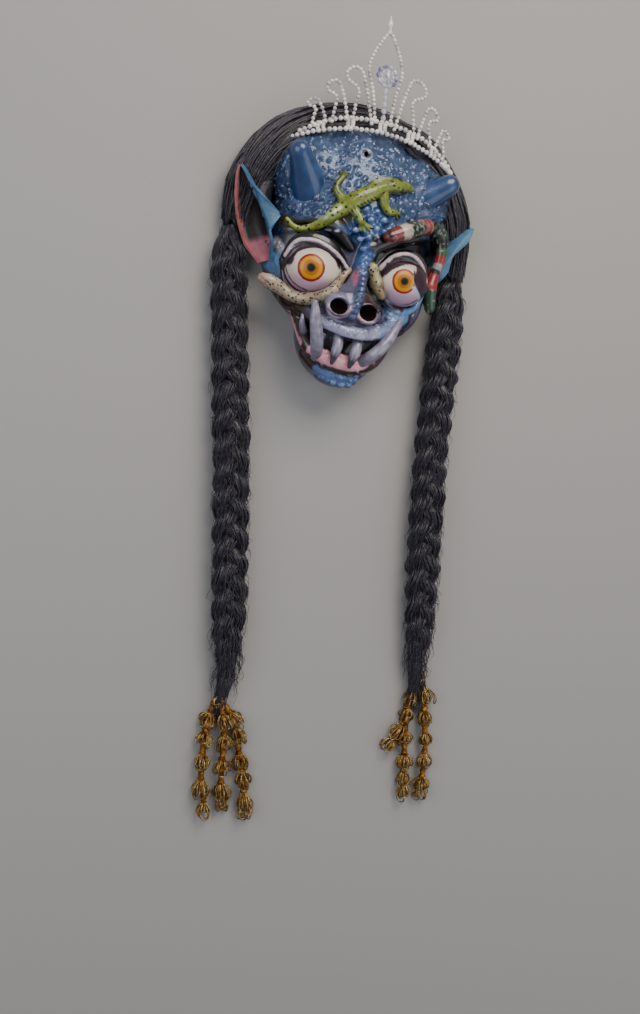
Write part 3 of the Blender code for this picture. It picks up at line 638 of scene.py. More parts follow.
def nearest_on(points, line):
    """How far each point is from a line, and how far along the line that is, from 0 to 1."""
    line = np.atleast_2d(np.asarray(line, float))[:, :3]
    if len(line) == 1:
        return np.linalg.norm(points - line[0], axis=1), np.zeros(len(points))
    nearest, along = np.full(len(points), np.inf), np.zeros(len(points))
    for k, (a, b) in enumerate(zip(line[:-1], line[1:])):
        run = b - a
        t = clamp((points - a) @ run / (run @ run))
        distance = np.linalg.norm(points - a - t[:, None] * run, axis=1)
        closer = distance < nearest
        nearest[closer] = distance[closer]
        along[closer] = (k + t[closer]) / (len(line) - 1)
    return nearest, along


def wobble(points, size, seed=0.0):
    """Smooth noise of about -1 to 1 over points, with patches of a size in millimetres."""
    return np.array([noise.noise(Vector(p)) for p in points / size + seed]) * 1.6


# %% [markdown]
# Droplets of paste cover the forehead, the bridge and the cheeks. Most are round domes, some have burst
# and left a ring, and near the screw hole the paste was drawn into a web of fine ridges. Each droplet
# lifts the points around it, so the relief is in the mesh and shows from every side.

# %% Where the paste glitters
LIP = [
    (-31, -81, 109), (-22, -84, 112), (-10, -86, 116), (4, -87, 116), (18, -85, 114), (30, -76, 109),
    (47, -60, 82)]
BROW_STROKES = (
    [(-75, 6, 74), (-62, 11, 83), (-49, 9, 104), (-30, 8, 102), (-17, 3, 106)],
    [(14, 12, 109), (32, 19, 107), (64, 29, 84), (92, 36, 58)])
FOLD_STROKE = [(-83, 23, 67), (-68, 17, 81), (-52, 20, 99), (-32, 30, 104), (-20, 41, 101)]
EYE_BAGS = (
    [(-72, -36, 94), (-52, -46, 99), (-34, -39, 104)],
    [(40, -34, 96), (60, -38, 92), (74, -30, 84)])


def glitter_share(points):
    """How much droplets cover each place of the face, from 0 to 1."""
    x, y, z = points.T
    share = clamp((y - 20) / 10)
    for line, width, most in (([(2, -2, 106), (2, -14, 104)], 10, 0.8),
                              ([(-92, 20, 45), (-88, -4, 62), (-84, -26, 55)], 13, 0.8),
                              ([(44, -50, 90), (55, -56, 90), (44, -72, 100)], 11, 0.5),
                              ([(-20, -130, 84), (0, -136, 88), (20, -131, 86)], 11, 1.0),
                              (LIP, 6.5, 0.8)):
        share = np.maximum(share, most * clamp((width - nearest_on(points, line)[0]) / 3))
    for line in (*BROW_STROKES, FOLD_STROKE, *LID_RIMS, *EYE_BAGS):
        share *= clamp((nearest_on(points, line)[0] - 9) / 3)
    share *= 0.15 + 0.85 * clamp((nearest_on(points, [(2, 40, 103), (2, 8, 106)])[0] - 17) / 4)
    for eye in (LEFT_EYE, RIGHT_EYE):
        share *= np.linalg.norm((points - eye) / (EYE_RADII + 4), axis=1) > 1
    return share * clamp((z - 26) / 8)


# %% Droplets of paste
DROPLETS = 1150
WEB_MIDDLE = np.array((14.0, 96.0, 88.0))
WEB_REACH = 42.0
SCREW_SPOT = np.array((*SCREW_HOLE, height_on(*SCREW_HOLE)))
random = np.random.default_rng(41)


def droplet_height(near, radius, burst):
    """The height of a droplet at a share of its radius: a dome, or the ring of a burst one."""
    if burst:
        return radius * 0.55 * np.exp(-((near - 0.62) / 0.26) ** 2)
    return radius * 0.85 * np.sqrt(clamp(1 - near ** 2))


def add_droplets(made):
    """Lift the skin of the face under each droplet and along the web of ridges."""
    points = places(made)
    normals = np.empty(len(points) * 3, np.float32)
    made.data.vertices.foreach_get("normal", normals)
    normals = normals.reshape(-1, 3)
    share = glitter_share(points)
    lift = np.zeros(len(points))
    web = clamp(1.6 - 1.3 * np.linalg.norm(points - WEB_MIDDLE, axis=1) / WEB_REACH) * share
    drawn = np.flatnonzero(web > 0.02)
    ridges = 1 - np.abs(wobble(points[drawn], 9.0, 3.7)) / 0.13
    lift[drawn] = 1.1 * clamp(ridges) * web[drawn]
    open_air = np.flatnonzero((share > 0.3) & (normals[:, 2] > -0.1))
    centres = random.choice(open_air, DROPLETS, p=share[open_air] / share[open_air].sum())
    order = points[:, 0].argsort()
    sorted_x = points[order, 0]
    for number, centre in enumerate(centres):
        radius = random.uniform(1.2, 2.2) if number % 4 else random.uniform(2.2, 3.6)
        low, high = np.searchsorted(sorted_x, (points[centre, 0] - radius, points[centre, 0] + radius))
        around = order[low:high]
        near = np.linalg.norm(points[around] - points[centre], axis=1) / radius
        around, near = around[near < 1], near[near < 1]
        lift[around] = np.maximum(lift[around], droplet_height(near, radius, number % 9 == 0))
    from_hole = np.linalg.norm(points - SCREW_SPOT, axis=1)
    lift = np.maximum(lift, 1.6 * np.exp(-((from_hole - SCREW_RING_RADIUS) / 1.6) ** 2))
    move_to(made, points + normals * lift[:, None])


add_droplets(face)
print(DROPLETS, "droplets")

# %% [markdown]
# Now the filled face is hollowed. The cavity is the head form, shrunk by the wall. A flat tool takes off
# what is below the floor, two swollen eyeballs make the sockets, and a pin makes the screw hole. All tools
# but the pin carry raw paper as their second material, so the surfaces that they cut get it.

# %% Hollowing
SOCKET_GAP = 0.45
NOSTRIL_TOP = 118.5


def eyeball(name, centre, spare=0.0, rings=40, segments=64):
    """The front of an ellipsoid with a flat back, larger by the spare all round."""
    radii = EYE_RADII + spare
    back = EYE_BACK_Z - spare
    far = math.acos((back - centre[2]) / radii[2])
    front = ball_rings(rings, segments, far) * radii + centre
    points = np.vstack([front.reshape(-1, 3), centre + radii * UP, (*centre[:2], back)])
    return add_piece(name, [(points, skin(rings, segments, inside_out=True))])


def box(name, low, high):
    """A plain block between two corners."""
    corners = np.array([(x, y, z) for z in (low[2], high[2]) for y in (low[1], high[1])
                        for x in (low[0], high[0])])
    faces = [(0, 2, 3, 1), (4, 5, 7, 6), (0, 1, 5, 4), (2, 6, 7, 3), (0, 4, 6, 2), (1, 3, 7, 5)]
    return add_piece(name, [(corners, faces)])


def with_paper(tool):
    """Give a tool raw paper as its second material."""
    tool.data.polygons.foreach_set("material_index", np.ones(len(tool.data.polygons), np.int32))
    return finish_with(tool, FACE_ENAMEL, RAW_PAPER)


finish_with(face, FACE_ENAMEL, RAW_PAPER, NOSTRIL_SHADE)
points = places(face)
# Faces deep in the nostrils take that matt painted shade.
deep = [np.linalg.norm((points - place) / NOSTRIL_RADII, axis=1) < 1.05 for place in NOSTRILS]
deep = (deep[0] | deep[1]) & (points[:, 2] < NOSTRIL_TOP)
for polygon in face.data.polygons:
    if deep[polygon.vertices[0]]:
        polygon.material_index = 2
cavity = with_paper(swell(form, -WALL))
ground = with_paper(box("ground_tool", (-400, -800, -300), (400, 400, FLOOR_Z)))
pin = roll([(*SCREW_HOLE, z, SCREW_HOLE_RADIUS) for z in (60, 140)], sides=16, step=40)
sockets = [with_paper(eyeball("socket_tool", centre, SOCKET_GAP, rings=24, segments=40))
           for centre in (LEFT_EYE, RIGHT_EYE)]
cut(face, cavity, ground, *sockets, add_piece("pin_tool", [pin], FACE_ENAMEL), keep=(ground,))
print("hollow face", len(face.data.polygons), "faces")

# %% [markdown]
# Paint goes on as a maker brushes it: a ground colour everywhere, then one stroke after another. A stroke
# is a line on the face, a width and a colour, and its edge wavers a little. The fourth number of the coat
# is its sparkle, which the enamel turns into metallic flakes and fine droplets.

# %% Brush strokes


class Coat:
    """The colours on one piece, a row of red, green, blue and sparkle for each point."""

    def __init__(self, made, ground, sparkle=0.0, waver=1.0):
        self.made = made
        self.points = places(made)
        self.rows = np.tile((*linear(ground)[:3], sparkle), (len(self.points), 1))
        self.waver = waver * (0.7 * wobble(self.points, 5.0) + 0.3 * wobble(self.points, 1.8, 9.1))

    def cover(self, share, colour, sparkle=0.0):
        """Lay a colour on with a share from 0 to 1 at each point."""
        self.rows += np.asarray(share)[:, None] * (np.array((*linear(colour)[:3], sparkle)) - self.rows)

    def mottle(self, size, seed, colour, strength, above=0.0, sparkle=0.0):
        """Lay a colour on in soft patches of a size in millimetres."""
        self.cover(strength * clamp(wobble(self.points, size, seed) - above), colour, sparkle)

    def stroke(self, line, width, colour, sparkle=0.0, soft=1.2, strength=1.0):
        """Brush along a line with a width in millimetres; soft is the width of its edge."""
        line = np.atleast_2d(np.asarray(line, float))
        if len(line) > 2:
            line = curve_through(line[:, :3], 4 * len(line))
        distance = nearest_on(self.points, line)[0]
        self.cover(strength * clamp((width / 2 + self.waver - distance) / soft + 0.5), colour, sparkle)

    def brush(self, *strokes):
        """One stroke after another: line, width, colour, and then sparkle, edge and strength."""
        for stroke in strokes:
            self.stroke(*stroke)

    def finish(self):
        """Store the coat on the mesh."""
        layer = self.made.data.attributes.new("coat", "FLOAT_COLOR", "POINT")
        layer.data.foreach_set("color", self.rows.astype(np.float32).ravel())


# %% Colours of the face
INK = "#0d0b10"
NAVY = "#16233f"
BLUE = "#32496b"
WHITE = "#d9d7e2"
DUSK = "#413e55"
SNOUT_SHADE_MAROON = "#2a1218"
JAW_SHADE_BROWN = "#2c1a15"
OLIVE = "#3d3824"
PINK = "#cf8f9e"

# %% [markdown]
# From top to bottom: blue droplets, darker to the sides, an olive fold and black gloss on the brows, a pale
# rim over a dark band of painted shade on each upper lid, a grey-lavender snout with painted shade down its
# right side, a pale blue lip, a pink gum, a lower lip painted dark as shade and a glittering chin. The left
# jaw is painted dark brown as shade, with a pink corner of the mouth. The mouth and the nostrils are painted
# near-black inside as shade.

# %% Lines to paint along
NOSTRIL_RIMS = (
    [(-32, -66, 118), (-27, -73, 116), (-19, -75, 117), (-12, -71, 119), (-9, -64, 122)],
    [(2, -66, 122), (5, -71, 120), (12, -74, 119), (20, -71, 119), (24, -64, 120)])
LIP_EDGE = [
    (-29, -88, 102), (-18, -92, 103), (-5, -94, 105), (11, -94, 102), (26, -90, 99), (36, -84, 100)]
GUM_PAINT = [
    (-31, -113, 92), (-20, -115, 96), (-6, -117, 98), (9, -117, 97), (24, -113, 95), (33, -113, 92)]
LOWER_LIP_SHADE = [
    (-34, -116, 86), (-20, -124, 89), (-4, -127, 93), (13, -127, 92), (28, -121, 91), (37, -112, 88)]
PAINTED_GLINTS = (
    [(-45, 15, 99), (-40, 16, 102)], [(-36, 16, 105), (-33, 16, 107)], [(-29, 13, 108), (-27, 12, 108)],
    [(40, 24, 100), (42, 25, 99)], [(59, 28, 90), (60, 29, 89)])
LEFT_JAW_SHADE = [
    (-76, -50, 40), (-71, -62, 62), (-60, -69, 72), (-52, -80, 76), (-46, -92, 82), (-40, -104, 84),
    (-36, -114, 84)]

RIGHT_LID_SHADOW = laid_on([(15, -4, 0), (22, 5, 0), (31, 13, 0), (44, 19, 0), (58, 21, 0), (72, 16, 0),
                            (84, 6, 0)])

# %% Paint the forehead, the nose and the snout
coat = Coat(face, BLUE, 1.0)
x, y, z = coat.points.T
coat.mottle(13.0, 2.0, "#4d6a92", 0.55, sparkle=1.0)
coat.mottle(7.0, 6.0, "#8d8fb8", 0.35, above=0.1, sparkle=1.0)
coat.cover(clamp((np.abs(x) - 66) / 14) * clamp((70 - z) / 18), NAVY, 0.8)
coat.cover(clamp((12 - y) / 10), DUSK, 0.15)
# Each lobe of the frown knot gets a darker blue, and a paler dab on its top as a painted highlight.
for px, py, pz, r in KNOT_LOBES:
    coat.stroke([(px, py, pz)], 4 * r, "#2b4b7c", 0.5, soft=3)
    coat.stroke([(px, py, pz + r)], 1.3 * r, "#7d8cb8", 0.7, soft=3, strength=0.8)
coat.brush(
    ([(2, 0, 107), (2, -14, 104)], 22, "#3f5c8e", 0.9, 5),
    ([(-94, 40, 40), (-90, 8, 55), (-80, -6, 74)], 26, NAVY, 0.9, 6),
    ([(-92, -14, 45), (-86, -22, 57), (-79, -28, 66)], 24, "#648fb5", 0.5, 5),
    ([(-86, -2, 62), (-82, -14, 76), (-78, -30, 82)], 11, WHITE, 1, 5, 0.55),
    ([(-33, -48, 100), (-18, -36, 107), (-6, -28, 107)], 26, "#57536a", 0, 6),
    # Painted shade: the right side of the snout, dark maroon.
    ([(20, -26, 96), (17, -42, 105), (14, -56, 118)], 22, SNOUT_SHADE_MAROON, 0, 5),
    ([(-33, -60, 119), (-24, -54, 120), (-12, -56, 122)], 12, "#74708a", 0, 4),
    ([(-4, -24, 105), (-4, -32, 112)], 7, "#a2546a", 0, 5))
for rim in NOSTRIL_RIMS:
    coat.stroke(rim, 6.5, "#c7aab4", 0.0, soft=2)
# Painted shade: the insides of the nostrils near-black.
for place in NOSTRILS:
    inside = 1.1 - np.linalg.norm((coat.points - place) / NOSTRIL_RADII, axis=1)
    coat.cover(clamp(inside * 14) * (z < 119), "#150809", 0.0)
coat.stroke([scale_place(k) for k in range(SCALES)], 9, "#3b5480", 0.4, soft=2)
for k in range(SCALES - 1):
    dip = (np.array(scale_place(k)) + scale_place(k + 1)) / 2 + (0, 0, 3.4)
    coat.stroke([dip - (5, 0.5, 1), dip, dip + (5, -0.5, -1)], 1.5, INK, 0.0, soft=1)

# %% Paint the mouth
coat.brush(
    # Painted shade: the hollow of the left cheek and jaw, dark brown.
    (LEFT_JAW_SHADE, 40, JAW_SHADE_BROWN, 0, 6),
    ([(62, -70, 70), (50, -88, 76), (40, -104, 80)], 26, "#3b2430", 0, 6),
    # Painted shade: the inside of the mouth near-black.
    ([(-30, -101, 90), (0, -100, 94), (36, -94, 84)], 20, "#0f100c", 0, 3),
    ([(-57, -70, 62), (-50, -90, 74), (-44, -104, 82)], 6.5, PINK, 0, 1.5),
    (LIP, 15.5, "#9294ae", 0.6, 2),
    ([(-33, -72, 108), (-26, -78, 111), (-16, -80, 113), (-5, -80, 115), (6, -79, 117),
      (20, -77, 116)], 2.6, "#23263d", 0, 2),
    (LIP_EDGE, 3.2, "#57202b"),
    (GUM_PAINT, 17, PINK, 0, 1.5),
    # Painted shade: the lower lip dark, as it faces down under the gum.
    (LOWER_LIP_SHADE, 8.5, "#22100f", 0, 1.5),
    ([(-20, -130, 84), (-8, -135, 88), (8, -136, 87), (20, -131, 85)], 14, "#5f7aab", 1, 2),
    (FOLD_STROKE, 15, OLIVE, 0, 3))

# %% Paint the brows, the lids and the cheek
for line in BROW_STROKES:
    coat.stroke(line, 21, INK, 0.0, soft=2)
coat.stroke(RIGHT_LID_SHADOW, 15, INK, 0.0, soft=2)
for upper, lower in zip(UPPER_LIDS, LOWER_LIDS):
    coat.stroke([point[:3] for point in lower], 11, "#2b1a26", 0.0, soft=2)
    coat.stroke([point[:3] for point in upper], 16, INK, 0.0, soft=1.5)
coat.brush(
    ([(41, -50, 93), (52, -56, 92), (50, -66, 94), (38, -76, 104)], 22, "#7f93ba", 0.6, 4),
    ([(86, -19, 79), (82, -30, 80), (71, -43, 86), (66, -54, 85), (60, -64, 89)], 13, "#5a82b0", 0.2, 2),
    ([(94, -24, 70), (88, -37, 72), (79, -50, 76), (70, -62, 79)], 3.2, INK, 0, 1),
    ([(44, -76, 102), (53, -69, 94), (63, -61, 86)], 6, "#b98a98", 0.2, 3))
# Painted shade: a dark band just under each upper lid rim.
for edge in LID_EDGES:
    coat.stroke([(px, py, pz + r * 0.4) for px, py, pz, r in edge], 8.5, "#2c1c24", 0.0, soft=1.0)
for line in LID_RIMS:
    coat.stroke([(px, py + 0.6, pz + 1.6) for px, py, pz in line], 4.6, "#c4b0b4", 0.0, soft=0.9)
coat.stroke([(36, -42, 93), (48, -45, 91), (62, -42, 78), (70, -37, 77)], 7, "#15131b", 0.0, soft=2)
# Painted highlights: small white glints on the black brows.
for glint in PAINTED_GLINTS:
    coat.stroke(glint, 2.0, WHITE, 0.6, soft=1.5)
# Painted shade: the screw hole near-black inside.
coat.stroke([SCREW_SPOT - (0, 0, 8), SCREW_SPOT + (0, 0, 1)], 7.5, "#07070a", 0.0, soft=1)
from_hole = np.linalg.norm(coat.points - SCREW_SPOT, axis=1)
coat.cover(0.5 * np.exp(-((from_hole - SCREW_RING_RADIUS) / 1.3) ** 2), "#b7bcd0", 0.6)
coat.finish()
dress(face, "blue_enamel", "mask_shell")

# %% [markdown]
# The eyeballs bulge from their sockets. Their enamel is smooth, with a soft gloss. The iris is rings
# painted round one point of the ball: a shader that measures the distance from that point draws them as
# crisp as a fine brush, and a little noise makes them waver.

# %% Eye measures
# The middle and radius of each iris
IRISES = ((np.array((-55.0, -29.0, 108.0)), 14.8), (np.array((50.5, -18.0, 107.0)), 13.6))
# Where each ring starts, as a share of that radius, and its colour
IRIS_RINGS = [
    (0, "#0e0e16"), (0.24, "#14141f"), (0.29, "#6b3e02"), (0.42, "#a76a00"), (0.50, "#9a5c00"),
    (0.56, "#b87c00"), (0.76, "#c48b00"), (0.81, "#b56800"), (0.84, "#8e2410"), (0.96, "#7c1a10"),
    (1, "#571a17")]
EYE_OUTLINES = (
    [(-79, -22, 86), (-77, -30, 87), (-74, -38, 89), (-66, -46, 90), (-56, -50, 92), (-45, -51, 94),
     (-35, -46, 97), (-27, -36, 101), (-21, -26, 100)],
    [(28, -12, 96), (31, -28, 96), (38, -38, 94), (51, -42, 91), (64, -39, 90), (73, -31, 94),
     (78, -22, 95)])
LID_SHADE_BANDS = (
    [(-75.3, -18.3, 92.2), (-72.7, -10.3, 91), (-67.6, -4.2, 91), (-60.7, -1.7, 94),
     (-53.6, -2.2, 97.5), (-45.2, -3.8, 100.1), (-35.7, -6.5, 101), (-28.4, -10.7, 101),
     (-24.5, -18.8, 100)],
    [(28, -13.6, 97.2), (30.3, -10.6, 99.2), (34.6, -5.7, 101.1), (42.1, -0.5, 102.3),
     (53.1, 4.6, 100.8), (63.1, 5.3, 98.6)])
LEFT_EYE_CORNER_SHADES = (
    [(-75.8, -23.4, 93.3), (-75.2, -18.6, 92.7), (-72.5, -12.5, 92.2)],
    [(-24.1, -18.1, 101.8), (-27.8, -12.9, 101.9), (-33.3, -9.5, 102.6)])
RIGHT_EYE_LID_SHADE = [(75, 12, 84), (72.6, 5, 92.6), (71.4, -7.5, 102.9), (72.7, -16.4, 103), (82, -22, 91)]
RIGHT_EYE_LINE = [
    (60.2, -1.7, 104.6), (60.9, -9.6, 107), (62.3, -16.7, 107), (66.2, -19.8, 105.4), (74, -24.8, 99.4),
    (84.8, -29, 82)]
RIGHT_EYE_STRIP = [(62.8, -21.8, 106.5), (69, -25.6, 102.6), (78, -30, 92)]

# %% Eye enamel


def eye_enamel(name, middle, radius):
    """Smooth enamel: the painted white of the eye, with the rings of the iris round its middle."""
    made, tree, shader, surface = new_finish(name, Roughness=0.38, IOR=ENAMEL_IOR, Coat_Weight=0.12,
                                             Coat_Roughness=0.12, Specular_IOR_Level=0.3)
    coat = add_node(tree, "Attribute", attribute_name="coat")
    away = add_node(tree, "VectorMath", {0: surface, 1: tuple(to_world(middle))}, operation="DISTANCE")
    waver = add_node(tree, "TexNoise", {"Vector": surface, "Scale": per_metre(6), "Detail": 2.0})
    share = add_node(tree, "MapRange", {"Value": away.outputs["Value"], "From Max": radius * MM},
                     clamp=False)
    rough_share = add_node(tree, "Math", {0: waver, 1: 0.07, 2: share}, operation="MULTIPLY_ADD")
    centred = add_node(tree, "Math", {0: rough_share, 1: 0.035}, operation="SUBTRACT")
    rings = add_node(tree, "ValToRGB", {"Fac": centred}, stops=IRIS_RINGS)
    grooves = add_node(tree, "Math", {0: centred, 1: 52.0}, operation="MULTIPLY")
    wave = add_node(tree, "Math", {0: grooves}, operation="SINE")
    shade = add_node(tree, "Math", {0: wave, 1: 0.09, 2: 1.0}, operation="MULTIPLY_ADD")
    ringed = add_node(tree, "Mix", {0: 1.0, MIX_A: rings, MIX_B: shade},
                      data_type="RGBA", blend_type="MULTIPLY")
    white = add_node(tree, "Math", {0: centred, 1: 0.995}, operation="GREATER_THAN")
    over = add_node(tree, "Math", {0: white, 1: coat.outputs["Alpha"]}, operation="MAXIMUM")
    painted = add_node(tree, "Mix", {0: over, MIX_A: ringed, MIX_B: coat}, data_type="RGBA")
    brushed = add_node(tree, "TexNoise", {"Vector": surface, "Scale": per_metre(4), "Detail": 3.0})
    bump = add_node(tree, "Bump", {"Height": brushed, "Strength": 0.35, "Distance": 0.3 * MM})
    set_inputs(shader, {"Base Color": painted, "Normal": bump})
    return made


# %% Both eyes
for side, centre, (iris, radius), outline, band in zip(("left", "right"), (LEFT_EYE, RIGHT_EYE), IRISES,
                                                       EYE_OUTLINES, LID_SHADE_BANDS):
    eye = eyeball(side + "_eye_painted", centre)
    eye.data.materials.append(eye_enamel(side + "_eye_enamel", iris, radius))
    coat = Coat(eye, "#bb9bb0", waver=0.8)
    coat.cover(clamp((coat.points[:, 1] - iris[1] + 9) / 8 + 0.5), "#c9bdb2")
    coat.cover(clamp((coat.points[:, 1] - iris[1] - 15) / 6), "#c2b3a4")
    # Painted shade of the upper lid along the top of the eyeball.
    coat.stroke(band, 7.5, "#33212a", soft=0.8)
    coat.stroke(outline, 2.6, "#1b141c", soft=1.2)
    if side == "left":
        # Painted shade of the lid in both corners of the left eye.
        for corner, width in zip(LEFT_EYE_CORNER_SHADES, (12.5, 6.5)):
            coat.stroke(corner, width, "#33212a", soft=1)
    if side == "right":
        # Painted shade of the lid over the outer side of the right eye.
        coat.stroke(RIGHT_EYE_LID_SHADE, 20.0, "#33212a", 1.0, soft=1)
        coat.stroke(RIGHT_EYE_STRIP, 4.5, "#a9b1cf", 1.0, soft=1.5)
        coat.stroke(RIGHT_EYE_LINE, 2.0, "#1d1a2b", 1.0, soft=0.8)
    coat.finish()
    sharpen(eye)
    dress(eye, "eye_enamel", side + "_eye")

# %% [markdown]
# The horns are two short blunt cones under smooth blue enamel. Each is cut by the head, a little shrunk, so
# that it sinks slightly into the face as a part that was pasted on.

# %% Horns
# Each horn's foot and tip, the radius of its tip, and how much wider its foot is
HORNS = (
    ("left", (-60, 60, 68), (-88, 88, 102), 11.5, 12.5), ("right", (58, 78, 66), (90, 103, 86), 12, 9.5))
HORN_CURVE = 1.15
BURIED = 1.5

swell(head, -BURIED)
for side, foot, tip, tip_radius, flare in HORNS:
    foot, tip = np.array(foot, float), np.array(tip, float)
    stations = [(*(foot + (tip - foot) * t), tip_radius + flare * (1 - t) ** HORN_CURVE)
                for t in (0, 0.2, 0.4, 0.6, 0.8, 1)]
    horn = add_piece(side + "_horn_painted", [roll(stations, sides=48, step=1.6)], FACE_ENAMEL)
    cut(horn, head, keep=(head,))
    coat = Coat(horn, "#24406a", 0.08, waver=2.0)
    coat.mottle(14.0, 5.0, "#2f547f", 0.5, sparkle=0.1)
    coat.stroke([foot + (0, 0, 6), foot + (tip - foot) * 0.25], 34, "#26456f", 0.35, soft=8, strength=0.6)
    coat.finish()
    dress(sharpen(horn, 60), "blue_enamel", side + "_horn")

# %% [markdown]
# The lizard and the snakes are rolled from paste, laid on the wet face and painted with satin enamel. Their
# small black spots are brush dots: a Voronoi pattern gives one dot in each cell, and where the coat's fourth
# number is high, dark slanting strokes run across the flank instead.

# %% Animal enamel


def spotted_enamel(name, spacing_mm, dot_share, roughness=0.32):
    """Satin enamel with small black dots, and slanting strokes where the coat asks for them."""
    made, tree, shader, surface = new_finish(name, Roughness=roughness, IOR=ENAMEL_IOR, Coat_Weight=0.35,
                                             Coat_Roughness=0.15)
    coat = add_node(tree, "Attribute", attribute_name="coat")
    thin, thick = (0.62, 0.62, 0.60, 1), (1.25, 1.25, 1.2, 1)
    mottle, shade = colour_patches(tree, surface, 5, [(0.30, thin), (0.70, thick)], Detail=4.0)
    toned = add_node(tree, "Mix", {0: 1.0, MIX_A: coat, MIX_B: shade},
                     data_type="RGBA", blend_type="MULTIPLY")
    cells = add_node(tree, "TexVoronoi", {"Vector": surface, "Scale": per_metre(spacing_mm),
                                          "Randomness": 0.75})
    dots = add_node(tree, "MapRange", {"Value": cells, "From Min": dot_share,
                                       "From Max": dot_share + 0.05, "To Min": 1.0, "To Max": 0.0})
    bands = add_node(tree, "TexWave", {"Vector": surface, "Scale": per_metre(10), "Distortion": 1.5},
                     bands_direction="DIAGONAL")
    strokes = add_node(tree, "MapRange", {"Value": bands.outputs["Fac"], "From Min": 0.72,
                                          "From Max": 0.82})
    slanted = add_node(tree, "Math", {0: strokes, 1: coat.outputs["Alpha"]}, operation="MULTIPLY")
    marked = add_node(tree, "Math", {0: dots, 1: slanted}, operation="MAXIMUM", use_clamp=True)
    painted = add_node(tree, "Mix", {0: marked, MIX_A: toned, MIX_B: "#12110c"}, data_type="RGBA")
    bump = add_node(tree, "Bump", {"Height": mottle, "Strength": 0.5, "Distance": 0.5 * MM})
    set_inputs(shader, {"Base Color": painted, "Normal": bump})
    return made


LIZARD_ENAMEL = spotted_enamel("lizard_enamel", 5.4, 0.26)
SNAKE_ENAMEL = spotted_enamel("spotted_snake_enamel", 4.3, 0.26)

# %% [markdown]
# The lizard lies across the forehead with its tail to the left. The body is one roll, the head is a
# flattened ball with two small eyes, and each foot has long toes. After fusing, its skin follows the face.

# %% Lizard in clay
LIZARD_BODY = laid_on([(-84, 21, 3, 2.2), (-73, 14, 3, 3.4), (-55, 18, 3, 4.8), (-39, 34, 4, 7.6),
                       (-23, 50, 5, 9.8), (-5, 64, 5, 9.2), (6, 72, 6, 7.2), (14, 76, 6, 7.0),
                       (22, 79, 5, 7.6), (33, 83, 5, 6.4), (44, 84, 3, 3.4)], lowest=80.0)
LIZARD_LEGS = (
    [(-30, 48, 4, 5.5), (-40, 58, 3, 4.6), (-41, 66, 3, 3.8), (-36, 75, 2, 3.4)],
    [(-22, 44, 4, 5.5), (-15, 37, 4, 4.8), (-11, 31, 3, 4.2)],
    [(-3, 74, 4, 5), (3, 80, 3, 4.4), (10, 83, 2, 4), (17, 86, 2, 3.2)],
    [(10, 68, 4, 5.5), (12, 57, 4, 5), (19, 51, 3, 4.4), (27, 52, 3, 3.6)])
LIZARD_TOES = (
    [(-36, 74), (-40, 82)],
    [(-36, 74), (-35, 84)],
    [(-36, 74), (-30, 81)],
    [(-11, 32), (4, 27)],
    [(-11, 32), (1, 23)],
    [(-12, 31), (-4, 21)],
    [(-12, 31), (-9, 22)],
    [(17, 86), (25, 90)],
    [(17, 86), (24, 86)],
    [(27, 52), (35, 54)],
    [(27, 52), (35, 50)],
    [(27, 52), (33, 47)])


def lizard_lumps():
    """Body, legs, toes, head and eyes."""
    lumps = [roll(LIZARD_BODY, sides=16, step=2)]
    legs = [laid_on(leg, step=3) for leg in LIZARD_LEGS]
    lumps += [roll(leg, sides=12, step=2) for leg in legs]
    for (x0, y0), (x1, y1) in LIZARD_TOES:
        toe = [(x0, y0, 2.2, 1.9), ((x0 + x1) / 2, (y0 + y1) / 2, 2.2, 1.7), (x1, y1, 0.8, 1.1)]
        lumps.append(roll(laid_on(toe, step=3), sides=8, step=1.5))
    x, y, z = LIZARD_BODY[-4][:3]
    lumps.append(ball((x - 2, y, z), (10.5, 7.6, 6.6), turn=0.25))
    for reach, across in ((0.5, 5.6), (3.5, -5.2)):
        lumps.append(ball((x + reach, y + across, z + 3.6), (2.3, 2.0, 2.2), segments=12))
    return lumps


# %% Paint the lizard
lizard = fuse(add_piece("lizard_painted", lizard_lumps(), LIZARD_ENAMEL), 0.9, smoothing=2)
finish_with(lizard, LIZARD_ENAMEL)
coat = Coat(lizard, "#6f7b26", waver=0.8)
# Painted shade: darker where the skin lies below the body's middle line.
lift = coat.points[:, 2] - np.interp(coat.points[:, 0], LIZARD_BODY[:, 0], LIZARD_BODY[:, 2])
coat.cover(clamp(-lift / 5), "#4a541a")
coat.brush(
    # Painted highlight: a pale line along the top of the back.
    ([place[:3] + (-1.5, 3.0, place[3]) for place in LIZARD_BODY[3:10]], 6, "#aab48a", 0, 4, 0.8),
    ([(-84, 21, 88), (-66, 15, 92), (-52, 19, 105)], 9, "#8d962e", 0, 3, 0.7),
    ([(10, 77, 121), (20, 80, 121), (28, 80, 117)], 8, "#b9c0a4", 0, 4, 0.75),
    ([(14, 66, 104), (14, 57, 106), (20, 51, 106)], 9, "#8f9a3c", 0, 3),
    ([(0, 79, 110), (4, 86, 106), (12, 89, 104)], 9, "#a3a98b", 0, 3, 0.7),
    ([(-24, 40, 108), (-12, 49, 112), (-2, 57, 112)], 9, "#869233", 1, 3))
for reach, across in ((0.5, 5.6), (3.5, -5.2)):
    x, y, z = LIZARD_BODY[-4][:3]
    coat.stroke([(x + reach, y + across, z + 5)], 3.6, "#0c0c08", soft=1)
coat.stroke([LIZARD_BODY[-1][:3] + (-14, -5.5, 0), LIZARD_BODY[-1][:3] + (2, -1, 0)], 1.8, "#2a2d10", soft=1)
coat.finish()
dress(lizard, "lizard_enamel", "lizard")

# %% [markdown]
# The spotted snake rises from the left cheek, runs under the eye and narrows up to the bridge of the nose.
# A short length of the same snake shows on the other side of the nose.

